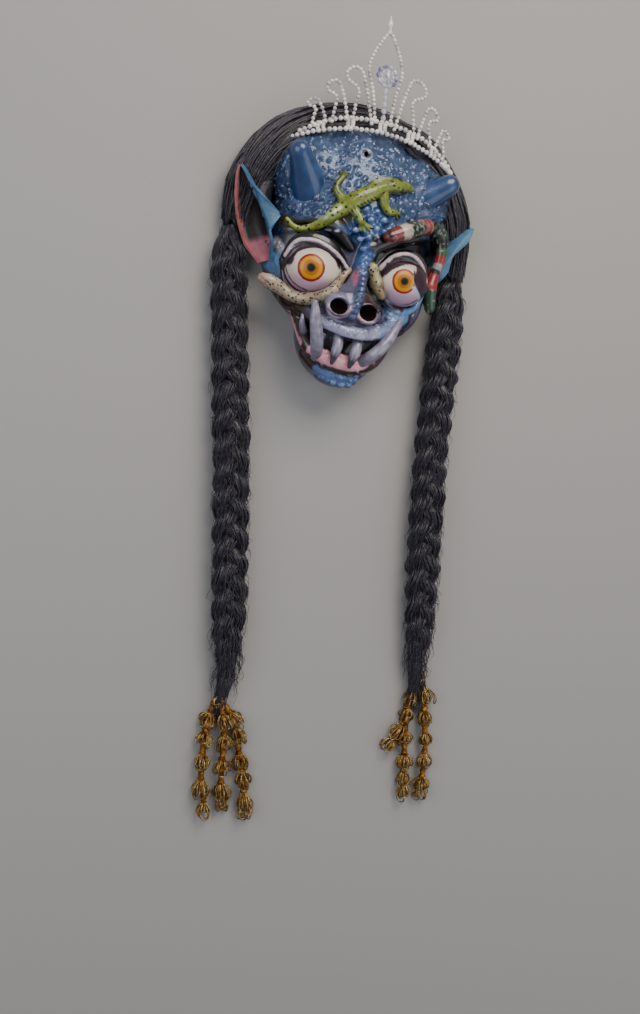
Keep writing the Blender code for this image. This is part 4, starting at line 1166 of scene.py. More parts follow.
# %% Spotted snake
SNAKE_BODY = laid_on([(-98, -46, 5, 5.5), (-90, -48, 5, 8.0), (-79, -51, 4, 7.2), (-67, -56, 4, 6.6),
                      (-55, -59, 4, 6.6), (-43, -58, 4, 7.0), (-33, -52, 4, 6.2), (-24, -41, 4, 5.2),
                      (-16, -28, 4, 4.2), (-10, -19, 4, 3.0)], lowest=76.0)
SNAKE_TAIL = laid_on([(13, -12, 4, 5.8), (22, -24, 4, 8), (31, -36, 4, 5.8)])

snake = add_piece("spotted_snake_painted", [roll(SNAKE_BODY, sides=28, step=1.3)], SNAKE_ENAMEL)
coat = Coat(snake, "#98866f", waver=0.8)
along = nearest_on(coat.points, SNAKE_BODY)[1]
above = coat.points[:, 2] - np.interp(along, np.linspace(0, 1, len(SNAKE_BODY)), SNAKE_BODY[:, 2])
# Painted shade below the snake's middle line, and a painted highlight along its top.
coat.cover(clamp(-above / 5) * 0.8, "#4a3626")
coat.cover(clamp((above - 3) / 3) * 0.5, "#b7a692")
coat.cover(clamp((0.10 - along) * 14) * 0.6, "#b5917c")
coat.stroke([(-101, -46, 85), (-92, -51, 88)], 1.6, "#2b1a14", soft=1)
coat.finish()
dress(snake, "spotted_enamel", "spotted_snake")

snake_tail = add_piece("spotted_snake_tail_painted", [roll(SNAKE_TAIL, sides=28, step=1.3)], SNAKE_ENAMEL)
coat = Coat(snake_tail, "#8f8060", waver=0.8)
coat.brush(
    # Painted highlight: a pale line along the top.
    ([SNAKE_TAIL[0][:3] + (0, 0, 4), SNAKE_TAIL[2][:3] + (0, 0, 6)], 7, "#b8ad82", 0, 4),
    ([SNAKE_TAIL[-2][:3] + (2, 1, 5), SNAKE_TAIL[-1][:3] + (2, 0, 3)], 6, "#5b4a34", 0, 4))
coat.finish()
dress(snake_tail, "spotted_enamel", "spotted_snake_tail")

# %% [markdown]
# The coral snake lies over the right brow and turns down beside the eye. Its bands are painted round it one
# after another, so their colour depends only on how far along the snake they are.

# %% Coral snake
CORAL_BODY = np.vstack([laid_on([(22, 22, 5, 6.8), (42, 34, 5, 9.2), (62, 46, 5, 9.4)]),
                        [(80, 54, 78, 9), (95, 50, 74, 8.4), (101, 30, 72, 6.4), (98, 8, 70, 5.8),
                         (96, -12, 68, 8.6), (102, -30, 64, 6.2)]])
# Where each band starts along the snake, from 0 to 1, and its colour
CORAL_BANDS = (
    (0, "#74211f"), (0.075, "#b5a49b"), (0.135, "#14120f"), (0.215, "#2c3a26"), (0.25, "#8c2a26"),
    (0.345, "#b46a60"), (0.375, "#121410"), (0.47, "#28392a"), (0.56, "#14150f"), (0.615, "#2f5230"),
    (0.66, "#8f2622"), (0.715, "#8f8f90"), (0.755, "#16140f"), (0.78, "#90252a"), (0.885, "#23452f"),
    (1.01, "#23452f"))

line = curve_through(CORAL_BODY, 90)
coral = add_piece("coral_snake_painted", [roll(CORAL_BODY, sides=28, step=1.3)], FACE_ENAMEL)
coat = Coat(coral, "#14120f", 0.0, waver=0.6)
along = nearest_on(coat.points, line)[1] + 0.012 * coat.waver
for (start, colour), (end, _) in zip(CORAL_BANDS, CORAL_BANDS[1:]):
    coat.cover(((along >= start) & (along < end)).astype(float), colour, 0.0)
speckle = (wobble(coat.points, 3.2, 2.0) > 0.55) & (np.abs(np.abs(along - 0.34) - 0.15) < 0.10)
coat.cover(speckle * 0.7, "#8d9a8c", 0.0)
coat.cover(0.5 * (wobble(coat.points, 3.4, 7.0) > 0.72), "#c9b3aa", 0.0)
coat.mottle(5.0, 3.0, "#241512", 0.5, above=0.2)
coat.finish()
dress(coral, "coral_enamel", "coral_snake")

# %% [markdown]
# The teeth are curved rolls that taper to blunt points. Their enamel is a lavender grey, painted darker
# towards the root as shade, and the two fangs have dark tips.

# %% Teeth
TEETH = {
    "left_tusk": [(-27, -116, 88, 6), (-34, -102, 106, 7.4), (-42, -84, 115, 6.4), (-47, -66, 118, 3.3)],
    "right_tusk": [(20, -114, 90, 5.8), (34, -100, 106, 7), (46, -80, 108, 5.6), (54, -61, 104, 2.6)],
    "left_fang": [(-10, -92, 102, 6), (-11, -106, 106, 5.6), (-13, -121, 104, 2.2)],
    "right_fang": [(12, -92, 102, 6.2), (10, -106, 106, 5.8), (7, -121, 104, 2.2)],
    "left_side_tooth": [(-44, -92, 84, 4.2), (-49, -84, 90, 3.6), (-50, -76, 91, 1.8)]}


def lumpy(t, turn):
    """A hand-rolled tooth isn't quite round."""
    return 1 + 0.05 * np.sin(2 * turn + 5 * t) + 0.03 * np.sin(9 * t + turn)


for name, stations in TEETH.items():
    tooth = add_piece(name + "_painted", [roll(stations, sides=28, step=1.2, width=lumpy)], FACE_ENAMEL)
    coat = Coat(tooth, "#858093", 0.0, waver=1.4)
    along = nearest_on(coat.points, curve_through(stations, 30))[1]
    # Painted shade: darker towards the root, where the tooth goes into the gum.
    coat.cover(clamp((0.35 - along) / 0.3) * 0.6, "#4d4656", 0.0)
    coat.mottle(9.0, 1.0, "#a19cac", 0.6)
    coat.mottle(6.0, 5.0, "#443c50", 0.5, above=0.1)
    if "fang" in name:
        coat.cover(clamp((along - 0.55) / 0.25), "#2b2530", 0.0)
    coat.finish()
    dress(tooth, "tooth_enamel", name)

# %% [markdown]
# Each ear is one thin leaf of papier-mache, bent along its length into a trough. Its outer edge stands up,
# its middle is a deep cup painted near-black as shade, and its inner side folds forward into a web that runs
# to the temple. The leaf is a grid: each row is a smooth line through seven places across it, and Solidify
# gives it a wall.

# %% Ear measures
# Each ear's lobe and tip, its side, how far it opens outward, and how far its web reaches
EARS = (
    ("left", (-97, -18, 58), (-141, 67, 70), -1, 0.45, 24),
    ("right", (105, -2, 50), (139, 71, 60), 1, 2, 8))
EAR_WALL = 2.6
EAR_HALF_WIDTH = 15.0
EAR_ROWS, EAR_COLUMNS = 80, 72

# %% One ear


def ear_row(t, lobe, tip, side, opening, inward, reach):
    """One line across the ear, from its outer edge round the cup to the web at the temple."""
    bulge = math.sin(math.pi * (0.20 + 0.799 * t)) ** 0.7 + 0.04
    half = EAR_HALF_WIDTH * bulge * min(1.0, 0.55 + 2.2 * t)
    centre = lobe + (tip - lobe) * (1.07 * t - 0.07) - inward * 2.0 * math.sin(math.pi * t)
    angles = np.radians(np.linspace(-80, 125, 7))[:, None]
    row = centre + half * np.sin(angles) * inward - 1.1 * half * np.cos(angles) * opening
    web = clamp((0.84 - t) / 0.26) ** 1.3 * (0.2 + 0.8 * clamp((t - 0.32) / 0.2))
    row[-1] += np.array((-side, 0.0, -0.25)) * reach * web
    return curve_through(row, EAR_COLUMNS)


def add_ear(name, lobe, tip, side, turn, reach):
    """The leaf with its wall, and its coat of blue and salmon, with the cup painted near-black as shade."""
    lobe, tip = np.array(lobe, float), np.array(tip, float)
    along = unit(tip - lobe)
    opening = np.array((turn * side, 0.0, 1.0))
    opening = unit(opening - along * (opening @ along))
    inward = np.cross(along, opening) * -side
    rows = np.linspace(0.0, 1.0, EAR_ROWS)
    grid = np.array([ear_row(t, lobe, tip, side, opening, inward, reach) for t in rows])
    corners = [row * EAR_COLUMNS + k for row in range(EAR_ROWS - 1) for k in range(EAR_COLUMNS - 1)]
    faces = [(k, k + 1, k + EAR_COLUMNS + 1, k + EAR_COLUMNS) for k in corners]
    leaf = add_piece(name, [(grid.reshape(-1, 3), faces)], EAR_ENAMEL)
    thick = leaf.modifiers.new("thick", "SOLIDIFY")
    thick.thickness = EAR_WALL * MM
    thick.offset = 0.0
    settle(leaf)
    tools = [head]
    if side > 0:
        tools.append(add_piece("coral_tool", [roll(CORAL_BODY, sides=28, step=1.3)]))
    cut(leaf, *tools, keep=(head,))
    coat = Coat(leaf, "#3c6787", 0.3, waver=0.8)
    spots = KDTree(EAR_ROWS * EAR_COLUMNS)
    for k, place in enumerate(grid.reshape(-1, 3)):
        spots.insert(place, k)
    spots.balance()
    nearest = np.array([spots.find(place)[1] for place in coat.points])
    t = rows[nearest // EAR_COLUMNS]
    across = (nearest % EAR_COLUMNS) / (EAR_COLUMNS - 1)
    normals = np.array([vertex.normal for vertex in leaf.data.vertices])
    front = clamp((normals @ (opening + np.array((0.0, 0.0, 0.6))) + 0.15) * 5)
    low_web = clamp((0.50 - t) * 12)
    # Painted shade: the inside of the cup near-black.
    cup = front * clamp((across - 0.15) * 20) * clamp((0.60 + 0.14 * low_web - across) * 14)
    coat.cover(cup, "#150b09", 0.0)
    coat.cover(clamp((0.16 - across + 0.006 * coat.waver) * 22), "#9c5a52", 0.0)
    coat.cover(clamp((0.27 - t + 0.008 * coat.waver) * 16) * (across < 0.85), "#a3606a", 0.0)
    crest = clamp(1 - np.abs(across - 0.64) * 17) * (t > 0.45) * front
    coat.cover(crest * 0.75, "#a9bccb", 0.2)
    coat.finish()
    return sharpen(leaf, 60)


# %% Both ears
for side, lobe, tip, sign, turn, reach in EARS:
    dress(add_ear(side + "_ear_painted", lobe, tip, sign, turn, reach), "blue_enamel", side + "_ear")

# %% [markdown]
# The tiara is wire threaded with imitation pearls: 5.6 mm beads on the two rows, 5 mm beads on the posts
# and 4.3 mm beads on the loops. Pearl lacquer is a pale coat over glass, so it is glossy, slightly pink, and
# clear on top. Every bead is its own ball on the line that the wire follows, a little uneven in size.

# %% Pearl
PEARL, tree, shader, surface = new_finish("pearl_lacquer", Roughness=0.24, IOR=1.55, Coat_Weight=0.9,
                                          Coat_Roughness=0.06)
cloudy = [(0.35, "#a9a2a6"), (0.52, "#dcd5cf"), (0.72, "#f4eee6")]
set_inputs(shader, {"Base Color": colour_patches(tree, surface, 9, cloudy, Detail=2.0)[1]})

# %% Lines of the tiara
ROW_BEAD, POST_BEAD, LOOP_BEAD = 5.6, 5.0, 4.3
TIARA_BEND = 215.0
TIARA_HALF_SPAN = 98.0
TIARA_ROW_STEP = 11.0
TIARA_DROOP = 19.0
TIARA_SKEW = 6.7
TIARA_FOOT = (2, 137, 87)
TIARA_LEAN = math.radians(7.0)
# One hairpin loop, for a loop one unit wide and one unit high; then each loop's foot, width and height
LOOP = (
    (0, -0.06), (0.2, 0.45), (0.43, 0.88), (0.59, 0.98), (0.76, 1), (0.93, 0.95), (1, 0.86),
    (0.92, 0.75), (0.62, 0.62), (0.54, 0.50), (0.62, 0.25), (0.68, -0.06))
LOOPS = ((-13, -31, 54), (-39, -25, 40), (-63, -21, 24), (14, 36, 57), (43, 26, 38), (68, 20, 26))
DROP = (
    (-9, -0.5), (-14, 30), (-20, 52), (-18, 66), (-10, 81), (0, 94), (9, 82), (16, 66), (17.5, 52),
    (12, 30), (8, -0.5))
POSTS = (-68, -36, 0, 34, 66)


def tiara_place(u, v):
    """A place on the tiara: u along the bent row, v up from its lower row."""
    angle = u / TIARA_BEND
    end = u / TIARA_HALF_SPAN
    x, y = TIARA_BEND * math.sin(angle), v - TIARA_DROOP * end ** 2 - TIARA_SKEW * end
    c, s = math.cos(TIARA_LEAN), math.sin(TIARA_LEAN)
    return np.array((TIARA_FOOT[0] + c * x - s * y, TIARA_FOOT[1] + s * x + c * y,
                     TIARA_FOOT[2] - TIARA_BEND * (1.0 - math.cos(angle)) + 0.05 * v))


upper_half = TIARA_HALF_SPAN - 8
row = TIARA_ROW_STEP
lower_row = [tiara_place(u, 0.0) for u in np.linspace(-TIARA_HALF_SPAN, TIARA_HALF_SPAN, 21)]
upper_row = [tiara_place(u, row * min(1.0, 1.6 * (1 - abs(u) / (upper_half + 6)) + 0.25))
             for u in np.linspace(-upper_half, upper_half, 19)]
loop_lines = [[tiara_place(foot + width * a, row + height * b) for a, b in LOOP]
              for foot, width, height in LOOPS]
loop_lines.append([tiara_place(u, row + v) for u, v in DROP])
print("tiara loops", len(loop_lines))

# %% Tiara
WRAPPED_FROM = 0.90
WIRE = 0.5


def threaded(line, size):
    """Beads side by side along a line, each slightly uneven."""
    lumps = []
    for centre in curve_through(line, max(2, int(round(line_length(line) / size)))):
        radius = size / 2 * random.uniform(0.96, 1.03)
        lumps.append(ball(centre + random.normal(0, 0.15, 3), radius, segments=12))
    return lumps


lower_line = curve_through(lower_row, 200)
wrapped = int(len(lower_line) * WRAPPED_FROM)
parts = threaded(lower_line[:wrapped], ROW_BEAD) + threaded(upper_row, ROW_BEAD)
for u in POSTS:
    for side in (-2.7, 2.7):
        parts += [ball(tiara_place(u + side, v), POST_BEAD / 2, segments=12) for v in (2.6, 5.5, 8.4)]
for line in loop_lines:
    parts += threaded(line, LOOP_BEAD)
wires = np.array([curve_through(line, 60) for line in (lower_row, upper_row, *loop_lines)])
parts.append(tubes(wires, np.full(wires.shape[:2], WIRE), sides=6))
end_line = [(*place, 3.1) for place in lower_line[wrapped::4]]


def taped(t, turn):
    """The turns of the tape round the end of the row."""
    return 1 + 0.05 * np.sin(60 * t + turn)


parts.append(roll(end_line, sides=20, step=1.0, width=taped))
for v, radii in ((94.5, (3.2, 3.2, 3.2)), (98.6, (2.0, 1.4, 2.0)), (103.5, (3.3, 5.2, 3.3))):
    parts.append(ball(tiara_place(-0.5, row + v), radii, segments=20))
parts.append(roll([(*tiara_place(-0.5, row + 106), 2.4), (*tiara_place(-0.6, row + 111.5), 1)], step=1))
dress(add_piece("tiara_beads", parts, PEARL), "pearl_beads", "tiara")

# %% [markdown]
# Inside the middle loop hangs a ring of clear glass bugles on a stem of crystals, and a long crystal stands
# across the ring. Cut crystal is lead glass with an index of about 1.55, quite clear, and some of the beads
# are faintly violet. Their facets stay flat.

# %% Crystal pendant
RING_RADIUS = 11.0
RING_HEIGHT = 49.0
BUGLES = 10
CRYSTAL, tree, shader, surface = new_finish("cut_crystal", Roughness=0.05, IOR=1.55,
                                            Transmission_Weight=0.45)
clear_and_violet = [(0.36, "#8d84b8"), (0.46, "#dfe1ea")]
set_inputs(shader, {"Base Color": colour_patches(tree, surface, 14, clear_and_violet)[1]})


def facets(start, end, radius, sides=6):
    """A crystal pointed at both ends, with flat facets."""
    start, end = np.array(start, float), np.array(end, float)
    heading = unit(end - start)
    across = unit(np.cross(heading, UP))
    over = np.cross(heading, across)
    turn = full_turn(sides)[:, None]
    rings = [start + (end - start) * t + radius * r * (np.cos(turn) * across + np.sin(turn) * over)
             for t, r in ((0.16, 0.62), (0.5, 1.0), (0.84, 0.62))]
    return np.vstack([*rings, start, end]), skin(len(rings), sides)


middle = TIARA_ROW_STEP + RING_HEIGHT
parts = []
for reach, thick in ((RING_RADIUS, 2.7), (RING_RADIUS - 4.4, 1.2)):
    turn = np.linspace(0.0, 2 * math.pi, BUGLES + 1)
    around = [tiara_place(1 + reach * math.sin(a), middle + reach * math.cos(a)) for a in turn]
    parts += [facets(a, b, thick) for a, b in zip(around, around[1:])]
parts.append(facets(tiara_place(1, middle + 8), tiara_place(1, middle - 9), 3.2))
parts.append(facets(tiara_place(-3.5, middle - 3), tiara_place(-6.5, middle - 9), 2.8))
for low in (12.0, 19.0, 26.0, 33.0, 40.0):
    parts.append(facets(tiara_place(0, low), tiara_place(0, low + 7.6), 3.1))
pendant = add_piece("crystal_pendant", parts, CRYSTAL)
dress(sharpen(pendant, 10), "crystal_beads", "tiara_pendant")

# %% [markdown]
# The wig and the plaits are coarse black fibre. Hair reflects in a stretched band and looks grey-violet
# where the light rakes it, so the fibre is dark, only half glossy, and each lock has its own shade. A lock
# of many hairs is drawn as one thin tube, because single hairs would be too fine to show.

# %% Hair fibre
HAIR, tree, shader, surface = new_finish("black_hair_fibre", Roughness=0.42, IOR=1.55, Sheen_Weight=0.35,
                                         Sheen_Roughness=0.4, Sheen_Tint="#8d86a3")
streaks = [(0.32, "#0b090d"), (0.52, "#1e1b23"), (0.72, "#4a4552")]
shades = colour_patches(tree, surface, 6, streaks, Detail=5.0, Roughness=0.7)[1]
fuzz = add_node(tree, "TexNoise", {"Vector": surface, "Scale": per_metre(0.9), "Detail": 2.0})
fuzz_bump = add_node(tree, "Bump", {"Height": fuzz, "Strength": 0.5, "Distance": 0.5 * MM})
set_inputs(shader, {"Base Color": shades, "Normal": fuzz_bump})


def core_of(node, shrink):
    """The dark inside of a head of hair: the solid's own shape, a little smaller."""
    core = put_in_scene(node + "_core", bpy.data.objects[node].data.copy())
    finish_with(swell(core, -shrink))
    made = places(core), faces_of(core)
    bpy.data.objects.remove(core)
    return made


def above_floor(lines, radii):
    """Press hair that would pass through the floor onto it."""
    lines[..., 2] = np.maximum(lines[..., 2], FLOOR_Z + radii + 0.2)
    return lines


def rest_on_floor(made, spare=0.0):
    """Press what is left of a piece below the floor onto it."""
    points = places(made)
    points[:, 2] = np.maximum(points[:, 2], FLOOR_Z + spare)
    move_to(made, points)
    return made


def smooth_random(shape, steps, size):
    """Random numbers that change slowly along the last axis but one."""
    coarse = random.normal(0.0, size, (shape[0], steps, shape[2]))
    at = np.linspace(0.0, steps - 1.001, shape[1])
    low = at.astype(int)
    t = (at - low)[None, :, None]
    t = t * t * (3 - 2 * t)
    return coarse[:, low] * (1 - t) + coarse[:, low + 1] * t


# %% [markdown]
# The wig is combed from the middle of the crown down both sides, to where each plait begins. Each lock
# follows the middle line of the wig at its own place in the thickness, and weaves a little.

# %% Wig
WIG_LINE = [
    (-130, 4, 38, 12), (-129, 34, 42, 18), (-120, 74, 44, 21), (-96, 112, 45, 22), (-58, 138, 46, 22),
    (-8, 150, 46, 22), (42, 146, 46, 22), (84, 120, 45, 22), (112, 84, 44, 20), (124, 52, 42, 17),
    (129, 28, 41, 15), (132, 4, 43, 12)]
WIG_LOCKS = 330
LOCK_STEPS = 30


def outside_head(lines, spare):
    """Lift hair that would pass into the head back out of it."""
    flat = lines.reshape(-1, 3)
    for k, point in enumerate(flat):
        place, normal, _, _ = head_tree.find_nearest(Vector(point))
        inside = (Vector(point) - place).dot(normal)
        if inside < spare:
            flat[k] = place + normal * spare
    return flat.reshape(lines.shape)


middle_line = curve_through(WIG_LINE, 121)
across, over = cross_directions(middle_line[:, :3])
parts = [core_of("wig", 3.0)]
for side in (-1, 1):
    start = 0.52 - side * random.uniform(-0.02, 0.16, WIG_LOCKS)
    end = np.where(side < 0, random.uniform(0.0, 0.16, WIG_LOCKS), random.uniform(0.84, 1.0, WIG_LOCKS))
    t = start[:, None] + (end - start)[:, None] * np.linspace(0, 1, LOCK_STEPS)
    at = clamp(t) * (len(middle_line) - 1)
    low = np.minimum(at.astype(int), len(middle_line) - 2)
    part = (at - low)[..., None]
    centre = middle_line[low] * (1 - part) + middle_line[low + 1] * part
    turn = random.uniform(0, 2 * math.pi, WIG_LOCKS)[:, None] + np.linspace(0, 0.7, LOCK_STEPS)
    share = np.sqrt(random.uniform(0.55, 1.0, WIG_LOCKS))[:, None]
    reach = centre[..., 3] * share
    lines = (centre[..., :3] + (np.cos(turn) * reach)[..., None] * across[low]
             + (np.sin(turn) * reach)[..., None] * over[low])
    lines += smooth_random(lines.shape, 7, 1.8)
    taper = np.sin(np.linspace(0.25, 2.9, LOCK_STEPS))
    radii = np.maximum(random.uniform(1.1, 2.3, WIG_LOCKS)[:, None] * taper, 0.25)
    parts.append(tubes(above_floor(outside_head(lines, 0.8), radii), radii, sides=4))
dress(rest_on_floor(add_piece("wig_hair", parts, HAIR), 0.1), "black_hair", "wig")

# %% [markdown]
# A plait is three strands that change places in turn. Seen from above, a strand swings from side to side,
# and at each crossing it dips below and comes over the next: that is a sine across and a sine at twice the
# pace in height. Each strand is a bundle of locks round its own path. The ends are brushed out into a loose
# point, and short hairs stand off all along.

# %% Plait measures
PLAIT_PERIOD = 84.0
SWING, DIP = 10.8, 5.6
STRAND_RADIUS = 8.6
LOCKS_PER_STRAND = 30
PLAIT_STEP = 4.0
BRAID_RADIUS = 20.5
BRAIDS = {
    "left_braid": [
        (-137, 6, 44, 9), (-131, -24, 47, 19), (-121, -76, 48, 20.5), (-111, -124, 48, 20.5),
        (-90, -230, 48, 20.5), (-69, -347, 48, 20.5), (-55, -433, 46, 18), (-49, -476, 42, 14),
        (-50, -506, 38, 8)],
    "right_braid": [
        (132, 14, 44, 9), (132, -14, 47, 18), (134, -64, 48, 20.5), (142, -185, 48, 20.5),
        (155, -299, 48, 20.5), (167, -385, 46, 18), (171, -420, 43, 15), (175, -445, 40, 11),
        (178, -460, 38, 9)]}
# How long the loose end is, how far its wisps spread, and how much their lengths differ
BRAID_ENDS = {"left_braid": (84.0, 9.0, 18.0), "right_braid": (66.0, 17.0, 34.0)}

# %% Wisps and short hairs
WISPS = 130
SHORT_HAIRS = 900


def wisps(root, heading, side, up, spread, reach):
    """The brushed-out end: hairs of uneven length that fan out over the head of the tassel."""
    t = np.linspace(0, 1, 12)[None, :]
    long = 34.0 + random.uniform(0.0, 1.0, WISPS)[:, None] * reach
    from_side = random.uniform(-6.5, 6.5, (WISPS, 1))
    to_side = random.uniform(-spread, spread, (WISPS, 1))
    height = random.uniform(-5.0, 7.0, (WISPS, 1))
    sideways = from_side * (1 - t) + to_side * t ** 1.5
    upward = height * (1 - 0.5 * t) + 3.0 * np.sin(2.6 * t)
    lines = (root + (t * long)[..., None] * heading + sideways[..., None] * side
             + upward[..., None] * up)
    lines += smooth_random(lines.shape, 4, 0.8)
    radii = random.uniform(0.5, 0.95, (WISPS, 1)) * (1 - 0.85 * t)
    return tubes(above_floor(lines, radii), radii, sides=4)


def short_hairs(centre, side, up, scale, steps):
    """Fine hairs that have slipped out of the plait, lying close along it."""
    at = random.integers(2, steps - 8, SHORT_HAIRS)
    turn = random.uniform(-0.5, math.pi + 0.5, SHORT_HAIRS)
    outward = np.cos(turn)[:, None] * side[at] + np.sin(turn)[:, None] * up[at] * 0.8
    root = centre[at] + outward * (BRAID_RADIUS * 0.72 * scale[at])[:, None]
    along = (centre[at + 5] - centre[at]) * random.uniform(0.5, 1.6, SHORT_HAIRS)[:, None]
    away = outward * random.uniform(1.0, 7.0, SHORT_HAIRS)[:, None]
    t = np.linspace(0, 1, 7)[None, :, None]
    lines = root[:, None] + along[:, None] * t + away[:, None] * np.sin(t * 2.2)
    lines = lines + smooth_random(lines.shape, 4, 1.7)
    radii = np.broadcast_to(0.42 * (1 - 0.7 * t[..., 0]), lines.shape[:2]).copy()
    return tubes(above_floor(lines, radii), radii, sides=3)


# %% One plait


def plait(name, route, loose_length, spread, wisp_reach):
    """Three strands of locks along a route, loose at the end, with short hairs standing off."""
    length = line_length(route)
    steps = int(length / PLAIT_STEP) + 1
    line = curve_through(route, steps)
    centre, scale = line[:, :3], line[:, 3] / BRAID_RADIUS
    heading = np.gradient(centre, axis=0)
    heading /= np.linalg.norm(heading, axis=1)[:, None]
    side = np.cross(heading, UP)
    side /= np.linalg.norm(side, axis=1)[:, None]
    up = np.cross(side, heading)
    s = np.linspace(0.0, length, steps)
    loose = clamp((s - (length - loose_length)) / loose_length)
    parts = []
    for strand in range(3):
        phase = 2 * math.pi * (s / PLAIT_PERIOD + strand / 3)
        braided = 1 - clamp(loose * 2.2)
        swing = SWING * np.sin(phase) * scale * (0.25 + 0.75 * braided)
        dip = DIP * np.sin(2 * phase) * scale * braided
        path = centre + swing[:, None] * side + dip[:, None] * up
        swell_here = scale * (1 + 0.10 * np.cos(2 * phase))
        thick = STRAND_RADIUS * swell_here
        core = np.column_stack([path, np.maximum(thick * (0.80 - 0.5 * loose), 1.0)])
        parts.append(roll(core[::2], sides=10, step=5.0))
        turn = (2 * math.pi * (np.arange(LOCKS_PER_STRAND) + random.uniform(-0.4, 0.4, LOCKS_PER_STRAND))
                / LOCKS_PER_STRAND)[:, None] + 0.5 * np.sin(phase)[None, :]
        share = random.uniform(0.78, 1.06, LOCKS_PER_STRAND)[:, None]
        reach = thick[None, :] * share * (1 + 0.35 * loose)
        lines = (path[None] + (np.cos(turn) * reach * 1.08)[..., None] * side[None]
                 + (np.sin(turn) * reach * 0.92)[..., None] * up[None])
        lines += smooth_random(lines.shape, 34, 0.85)
        radii = random.uniform(0.9, 1.5, LOCKS_PER_STRAND)[:, None] * np.sqrt(scale)[None, :]
        radii = radii * (1 - 0.45 * loose) * np.clip(np.minimum(s + 4, length - s + 4) / 26, 0.2, 1)
        parts.append(tubes(above_floor(lines, radii), radii, sides=4))
    parts.append(short_hairs(centre, side, up, scale, steps))
    parts.append(wisps(centre[-9], heading[-1], side[-1], up[-1], spread, wisp_reach))
    return rest_on_floor(add_piece(name + "_hair", parts, HAIR))


# %% Both plaits
for name, route in BRAIDS.items():
    dress(plait(name, route, *BRAID_ENDS[name]), "black_hair", name)

# %% [markdown]
# The tassels are metal thread: a silk cord wrapped with gilt wire, and stiff loops of the same wire bound
# on in tiers, each loop bent out like a petal. Metal reflects its own colour, and old gilt wire is uneven:
# brown where it is worn, pale gold where it catches the light.

# %% Gilt thread and wire


def gilt(name, roughness, grain_mm, dark, middle, light):
    """Worn metal thread: three shades of gold, and fine turns of wire."""
    made, tree, shader, surface = new_finish(name, Roughness=roughness, Metallic=0.85)
    worn = [(0.36, dark), (0.50, middle), (0.66, light)]
    shades = colour_patches(tree, surface, 7, worn, Detail=6.0, Roughness=0.75)[1]
    turns = add_node(tree, "TexVoronoi", {"Vector": surface, "Scale": per_metre(grain_mm)})
    bump = add_node(tree, "Bump", {"Height": turns, "Strength": 0.7, "Distance": 0.35 * MM})
    set_inputs(shader, {"Base Color": shades, "Normal": bump})
    return made


GILT_CORD = gilt("gilt_cord", 0.45, 1.3, "#3a1f08", "#80501a", "#b58237")
GILT_WIRE = gilt("gilt_wire", 0.32, 0.9, "#4f3413", "#94723a", "#cdb988")

# %% Cord measures
CORD_RADIUS = 3.4
WIRE_RADIUS = 0.7
TURNS_PER_MM = 0.30
CORD_STEPS = 60
PETAL_STEPS = 23
KNOTS = {"left_tassel": (-52, -503, 40), "right_tassel": (180, -446, 40)}
CORDS = {
    "left_tassel": (
        [(-55, -503, 40), (-58, -522, 38), (-59, -544, 38), (-57, -573, 38), (-53, -597, 38),
         (-45, -621, 37)],
        [(-50, -503, 41), (-41, -525, 40), (-37, -550, 39), (-33, -584, 38), (-27, -612, 37)],
        [(-47, -505, 40), (-31, -519, 39), (-24, -534, 38), (-17, -558, 38), (-8, -582, 38),
         (0, -618, 37)]),
    "right_tassel": (
        [(178, -447, 39), (175, -472, 38), (175, -503, 38), (181, -541, 38), (188, -579, 37)],
        [(182, -444, 41), (190, -462, 40), (197, -492, 39), (206, -534, 38), (209, -577, 37)],
        [(180, -492, 37), (170, -508, 37), (164, -522, 37)])}
# The least and the most between two tiers of petals
TIER_STEP = (19, 30)

# %% Twists and petals


def rope(t, turn):
    """Two plies twisted round each other, wrapped by finer turns."""
    return 1 + 0.16 * np.cos(2 * (turn - TURNS_PER_MM * 130 * t)) + 0.05 * np.cos(turn * 3 + 900 * t)


def petals(place, heading, length, reach, count):
    """Nested loops of wire that hang from one binding, each a drop that is widest near its lower end."""
    side = unit(np.cross(heading, UP))
    over = np.cross(side, heading)
    a = np.linspace(0.0, 2 * math.pi, PETAL_STEPS)
    along = (1 - np.cos(a)) / 2
    loops = []
    for k in range(count):
        turn = 2 * math.pi * (k + random.uniform(-0.3, 0.3)) / count
        outward = math.cos(turn) * side + math.sin(turn) * over
        sideways = np.cross(heading, outward)
        long = length * random.uniform(0.62, 1.12)
        lean = reach * random.uniform(0.35, 1.1)
        width = 4.4 * random.uniform(0.6, 1.15) * np.sin(a) * (0.35 + 1.15 * along)
        loops.append(place + np.outer(along * long, heading)
                     + np.outer(1.6 + lean * np.sin(2.3 * along), outward) + np.outer(width, sideways))
    return loops


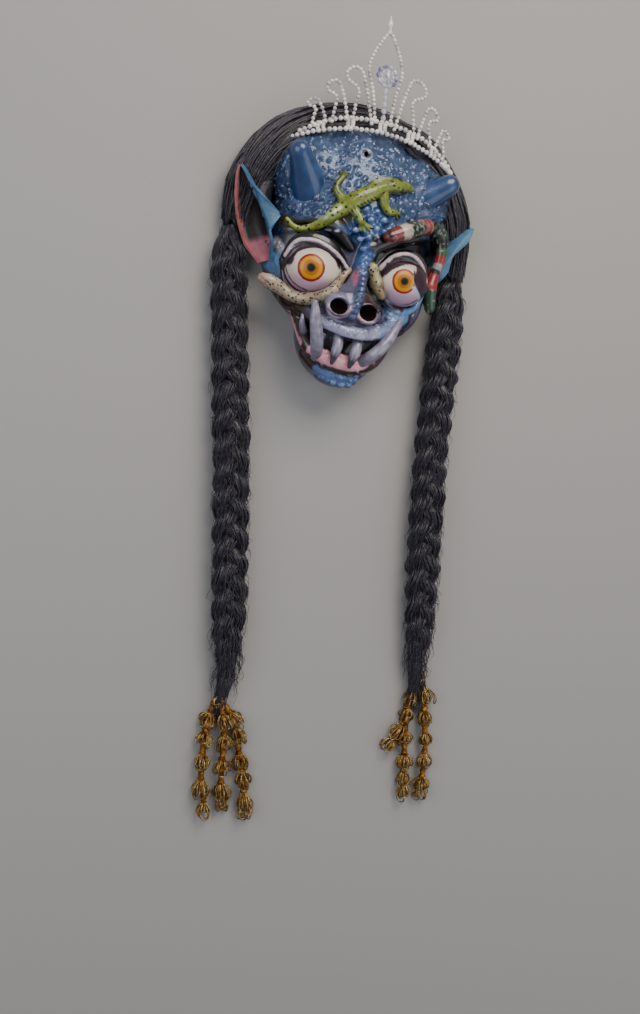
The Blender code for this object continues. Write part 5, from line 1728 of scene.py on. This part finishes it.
# %% Both tassels
for name, cords in CORDS.items():
    cord_parts, loops = [], []
    for cord in cords:
        length = line_length(cord)
        line = curve_through(cord, CORD_STEPS)
        reach = CORD_RADIUS * (1.1 - 0.25 * np.linspace(0, 1, CORD_STEPS))
        cord_parts.append(roll(np.column_stack([line, reach])[::3], sides=16, step=0.8, width=rope))
        tiers = 14.0 + np.concatenate([[0.0], np.cumsum(random.uniform(*TIER_STEP, 5))])
        for tier in tiers[tiers < length - 2]:
            at = int(tier / length * (CORD_STEPS - 1))
            heading = unit(line[min(at + 4, CORD_STEPS - 1)] - line[max(at - 4, 0)])
            loops += petals(line[at], heading, random.uniform(16, 23), random.uniform(6, 10),
                            random.integers(8, 13))
            cord_parts.append(ball(line[at], (3.9, 3.6, 3.9), segments=16))
        loops += petals(line[-4], heading, 18.0, 7.0, 9)
    knot = np.array(KNOTS[name], float)
    for turn in np.linspace(0, 2 * math.pi, 9, endpoint=False):
        loops += petals(knot, np.array((math.cos(turn), math.sin(turn), 0.35)), 7.5, 2.4, 1)
    cord_parts.append(ball(knot, (6.2, 5.6, 5.2), segments=24))
    radii = np.full((len(loops), PETAL_STEPS), WIRE_RADIUS)
    lines = above_floor(np.array(loops), radii)
    cord = add_piece(name + "_cords", cord_parts, GILT_CORD)
    points = places(cord)
    move_to(cord, points + 0.5 * wobble(points, 2.2, 4.0)[:, None] * (1.0, 0.6, 0.4))
    dress(rest_on_floor(cord, 0.1), "gold_thread", name)
    dress(add_piece(name + "_loops", [tubes(lines, radii, sides=5)], GILT_WIRE), "gold_thread", name)

# %% [markdown]
# Last come a plain pale floor and soft light. Half the light comes from above the crown, as where such a
# mask hangs, and the rest fills from the sides so that no part is lost in shadow.

# %% Floor
FLOOR_SIZE = 6.0
floor_mesh = bpy.data.meshes.new("floor")
half = FLOOR_SIZE / 2
corners = [(-half, -half, 0), (half, -half, 0), (half, half, 0), (-half, half, 0)]
floor_mesh.from_pydata(corners, [], [(0, 1, 2, 3)])
floor_mesh.materials.append(new_finish("pale_floor", Base_Color="#9a9895", Roughness=0.85)[0])
floor = put_in_scene("floor", floor_mesh)

# %% Lights
# Each lamp's place and width in metres, its watts and its colour
LIGHTS = {
    "crown_light": ((0.15, 1.15, 1.25), 1, 26, "#fff6ea"),
    "left_light": ((-1.2, 0.1, 1.1), 1.1, 11, "#f2f4ff"),
    "right_light": ((1.2, -0.4, 1.3), 1.4, 9, "#f4f6ff")}
for name, (place, width, watts, colour) in LIGHTS.items():
    light_data = bpy.data.lights.new(name, "AREA")
    light_data.size = width
    light_data.energy = watts
    light_data.color = linear(colour)[:3]
    light = put_in_scene(name, light_data)
    light.location = place
    light.rotation_euler = (Vector(place) - Vector((0, 0.1, 0))).to_track_quat("Z", "Y").to_euler()

world = bpy.data.worlds.new("studio")
world.use_nodes = True
world.node_tree.nodes["Background"].inputs["Color"].default_value = linear("#dfe3ea")
world.node_tree.nodes["Background"].inputs["Strength"].default_value = 0.35
bpy.context.scene.world = world
print("lights", len(LIGHTS))

# %% [markdown]
# The tools are removed.

# %% Finish
for tool in (ground, head):
    bpy.data.objects.remove(tool)
